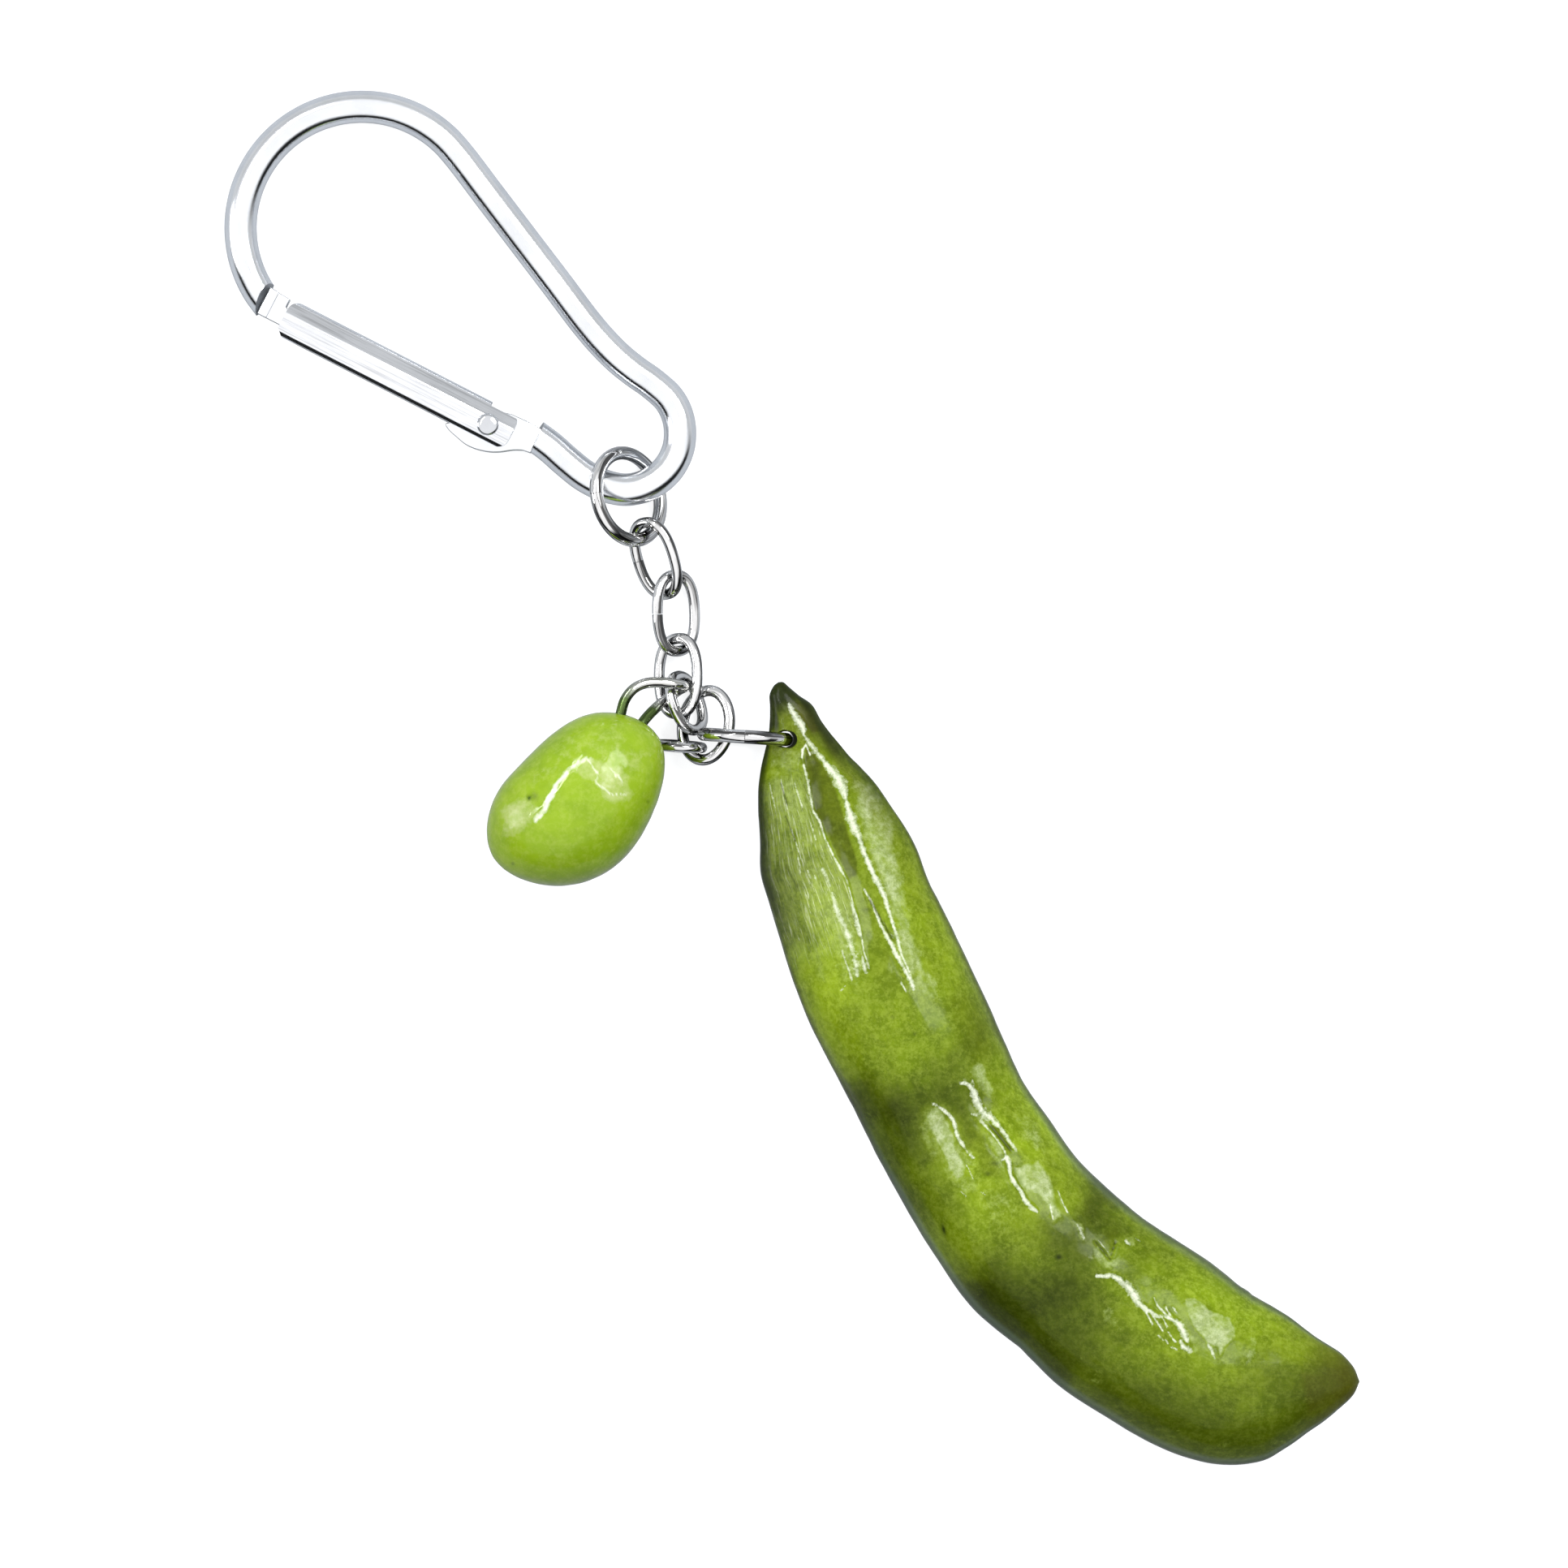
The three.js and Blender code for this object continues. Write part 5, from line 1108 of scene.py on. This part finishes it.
# painted highlight: near-white glints along the ribs, broken by the grain
painted_glint = m.math("ADD", m.attr("rib_highlight"), m.math("ADD", m.math("MULTIPLY_ADD", fine, 1.1, -0.55), m.math("MULTIPLY_ADD", tiny, 0.7, -0.35)))
painted_glint = m.math("MULTIPLY", m.ramp(painted_glint, [(0.34, 0.0), (0.86, 1.0)]), m.ramp(m.attr("rib_highlight"), [(0.04, 0.0), (0.3, 1.0)]))
base = m.mix(m.math("MULTIPLY", painted_glint, 0.9), base, lin(236, 243, 220, 0.72))
# painted shade in the creases and round the hole
base = m.mix(m.math("MULTIPLY", m.attr("crease_shade"), 0.85), base, lin(50, 62, 4, G))
base = m.mix(m.attr("speck"), base, lin(30, 42, 6, G))
m.link(base, "Base Color")
m.link(m.math("MULTIPLY_ADD", mid, 0.2, 0.28), "Roughness")
m.b.inputs["Subsurface Weight"].default_value = 0.06
m.b.inputs["Subsurface Radius"].default_value = (0.5, 1.0, 0.15)
m.b.inputs["Subsurface Scale"].default_value = 0.0006
nb = m.bump(big, 0.35, 0.0003)
nb = m.bump(m.math("MULTIPLY", thread, m.attr("fibre")), 0.6, 0.0001, nb)
m.link(m.bump(fine, 0.06, 0.00008, nb), "Normal")
cb = m.bump(m.noise(c, 330, 3, 0.55), 0.25, 0.00018)
cb = m.bump(m.math("MULTIPLY", thread, m.math("MULTIPLY_ADD", m.attr("fibre"), 0.9, 0.05)), 0.7, 0.00012, cb)
cb = m.bump(m.math("MULTIPLY", mid, m.math("MULTIPLY_ADD", m.attr("painted_highlight"), 0.9, 0.08)), 0.5, 0.00018, cb)
m.t.links.new(cb, m.b.inputs["Coat Normal"])
pod.data.materials.clear()
pod.data.materials.append(m.m)
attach(pod, "pod_charm")
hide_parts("pod")

# ------------------------------------------------------------------ floor and light
floor = mesh_object("floor", [(-3, -3, 0), (3, -3, 0), (3, 3, 0), (-3, 3, 0)], [(0, 1, 2, 3)], None, smooth=False)
f = Mat("floor", Roughness=0.9, Specular_IOR_Level=0.0)
f.b.inputs["Base Color"].default_value = (0.335, 0.35, 0.37, 1)
f.b.inputs["Emission Color"].default_value = (1, 1, 1, 1)
# paper under the camera's own light: bright where it is looked at, paler in what it lends to the metal
f.link(f.math("MULTIPLY", f.node("ShaderNodeLightPath").outputs["Is Camera Ray"], 0.8), "Emission Strength")
floor.data.materials.append(f.m)


def softbox(name, azimuth, tilt, width, height, radiance, distance=0.9, colour=(1, 1, 1), roll=0.0):
    """A soft box that faces the middle of the object, tilt degrees from straight overhead. Its width runs round, its height up."""
    a, t = math.radians(azimuth), math.radians(tilt)
    d = Vector((math.sin(t) * math.cos(a), math.sin(t) * math.sin(a), math.cos(t)))
    light = bpy.data.lights.new(name, "AREA")
    light.shape, light.size, light.size_y, light.color = "RECTANGLE", width, height, colour
    light.energy = radiance * math.pi * width * height
    ob = bpy.data.objects.new(name, light)
    ob.location = d * distance
    ob.rotation_mode = "QUATERNION"
    ob.rotation_quaternion = (d.to_track_quat("Z", "Y").to_matrix() @ Matrix.Rotation(math.radians(roll), 3, "Z")).to_quaternion()
    bpy.context.scene.collection.objects.link(ob)
    ob.visible_camera = False
    return ob


softbox("key", 42, 38, 0.52, 0.34, 9)
softbox("key_edge", 42, 25, 0.40, 0.02, 50)
softbox("strip", 143, 40, 0.66, 0.04, 30, roll=10)
softbox("low_left", 178, 70, 0.32, 0.28, 5)

world = bpy.data.worlds.new("studio")
bpy.context.scene.world = world
world.use_nodes = True
nt = world.node_tree
bg = nt.nodes["Background"]
tc = nt.nodes.new("ShaderNodeTexCoord")
sep = nt.nodes.new("ShaderNodeSeparateXYZ")
nt.links.new(tc.outputs["Generated"], sep.inputs[0])


def height_ramp(stops):
    r = nt.nodes.new("ShaderNodeValToRGB")
    nt.links.new(sep.outputs["Z"], r.inputs[0])
    el = r.color_ramp.elements
    while len(el) < len(stops):
        el.new(0.5)
    for e, (pos, v) in zip(el, stops):
        e.position, e.color = pos, (v * (0.94 + 0.06 * v), v * (0.975 + 0.02 * v), v, 1)
    return r.outputs[0]


def colour_mix(fac, a, b):
    n = nt.nodes.new("ShaderNodeMix")
    n.data_type = "RGBA"
    for k, v in ((0, fac), (6, a), (7, b)):
        nt.links.new(v, n.inputs[k])
    return n.outputs[2]


def between(value, low, high):
    n = nt.nodes.new("ShaderNodeMapRange")
    n.inputs["From Min"].default_value, n.inputs["From Max"].default_value = low, high
    nt.links.new(value, n.inputs["Value"])
    return n.outputs[0]


# the far side is a grey wall, the near side is white down to a dark gap above the floor, which is taller in one corner
far_side = height_ramp([(0.0, 0.62), (0.3, 0.56), (0.52, 0.52), (0.66, 0.94), (1.0, 1.0)])
near_side = height_ramp([(0.0, 0.48), (0.04, 0.46), (0.07, 0.012), (0.42, 0.008), (0.46, 0.62), (0.54, 0.86), (0.7, 1.0)])
corner = height_ramp([(0.0, 0.4), (0.04, 0.3), (0.07, 0.016), (0.56, 0.012), (0.62, 0.24), (0.70, 0.86), (1.0, 1.0)])
dot = nt.nodes.new("ShaderNodeVectorMath")
dot.operation = "DOT_PRODUCT"
nt.links.new(tc.outputs["Generated"], dot.inputs[0])
dot.inputs[1].default_value = (0.574, -0.819, 0)
near_side = colour_mix(between(dot.outputs["Value"], 0.70, 0.86), near_side, corner)
nt.links.new(colour_mix(between(sep.outputs["Y"], -0.30, 0.10), near_side, far_side), bg.inputs["Color"])
bg.inputs["Strength"].default_value = 1.2
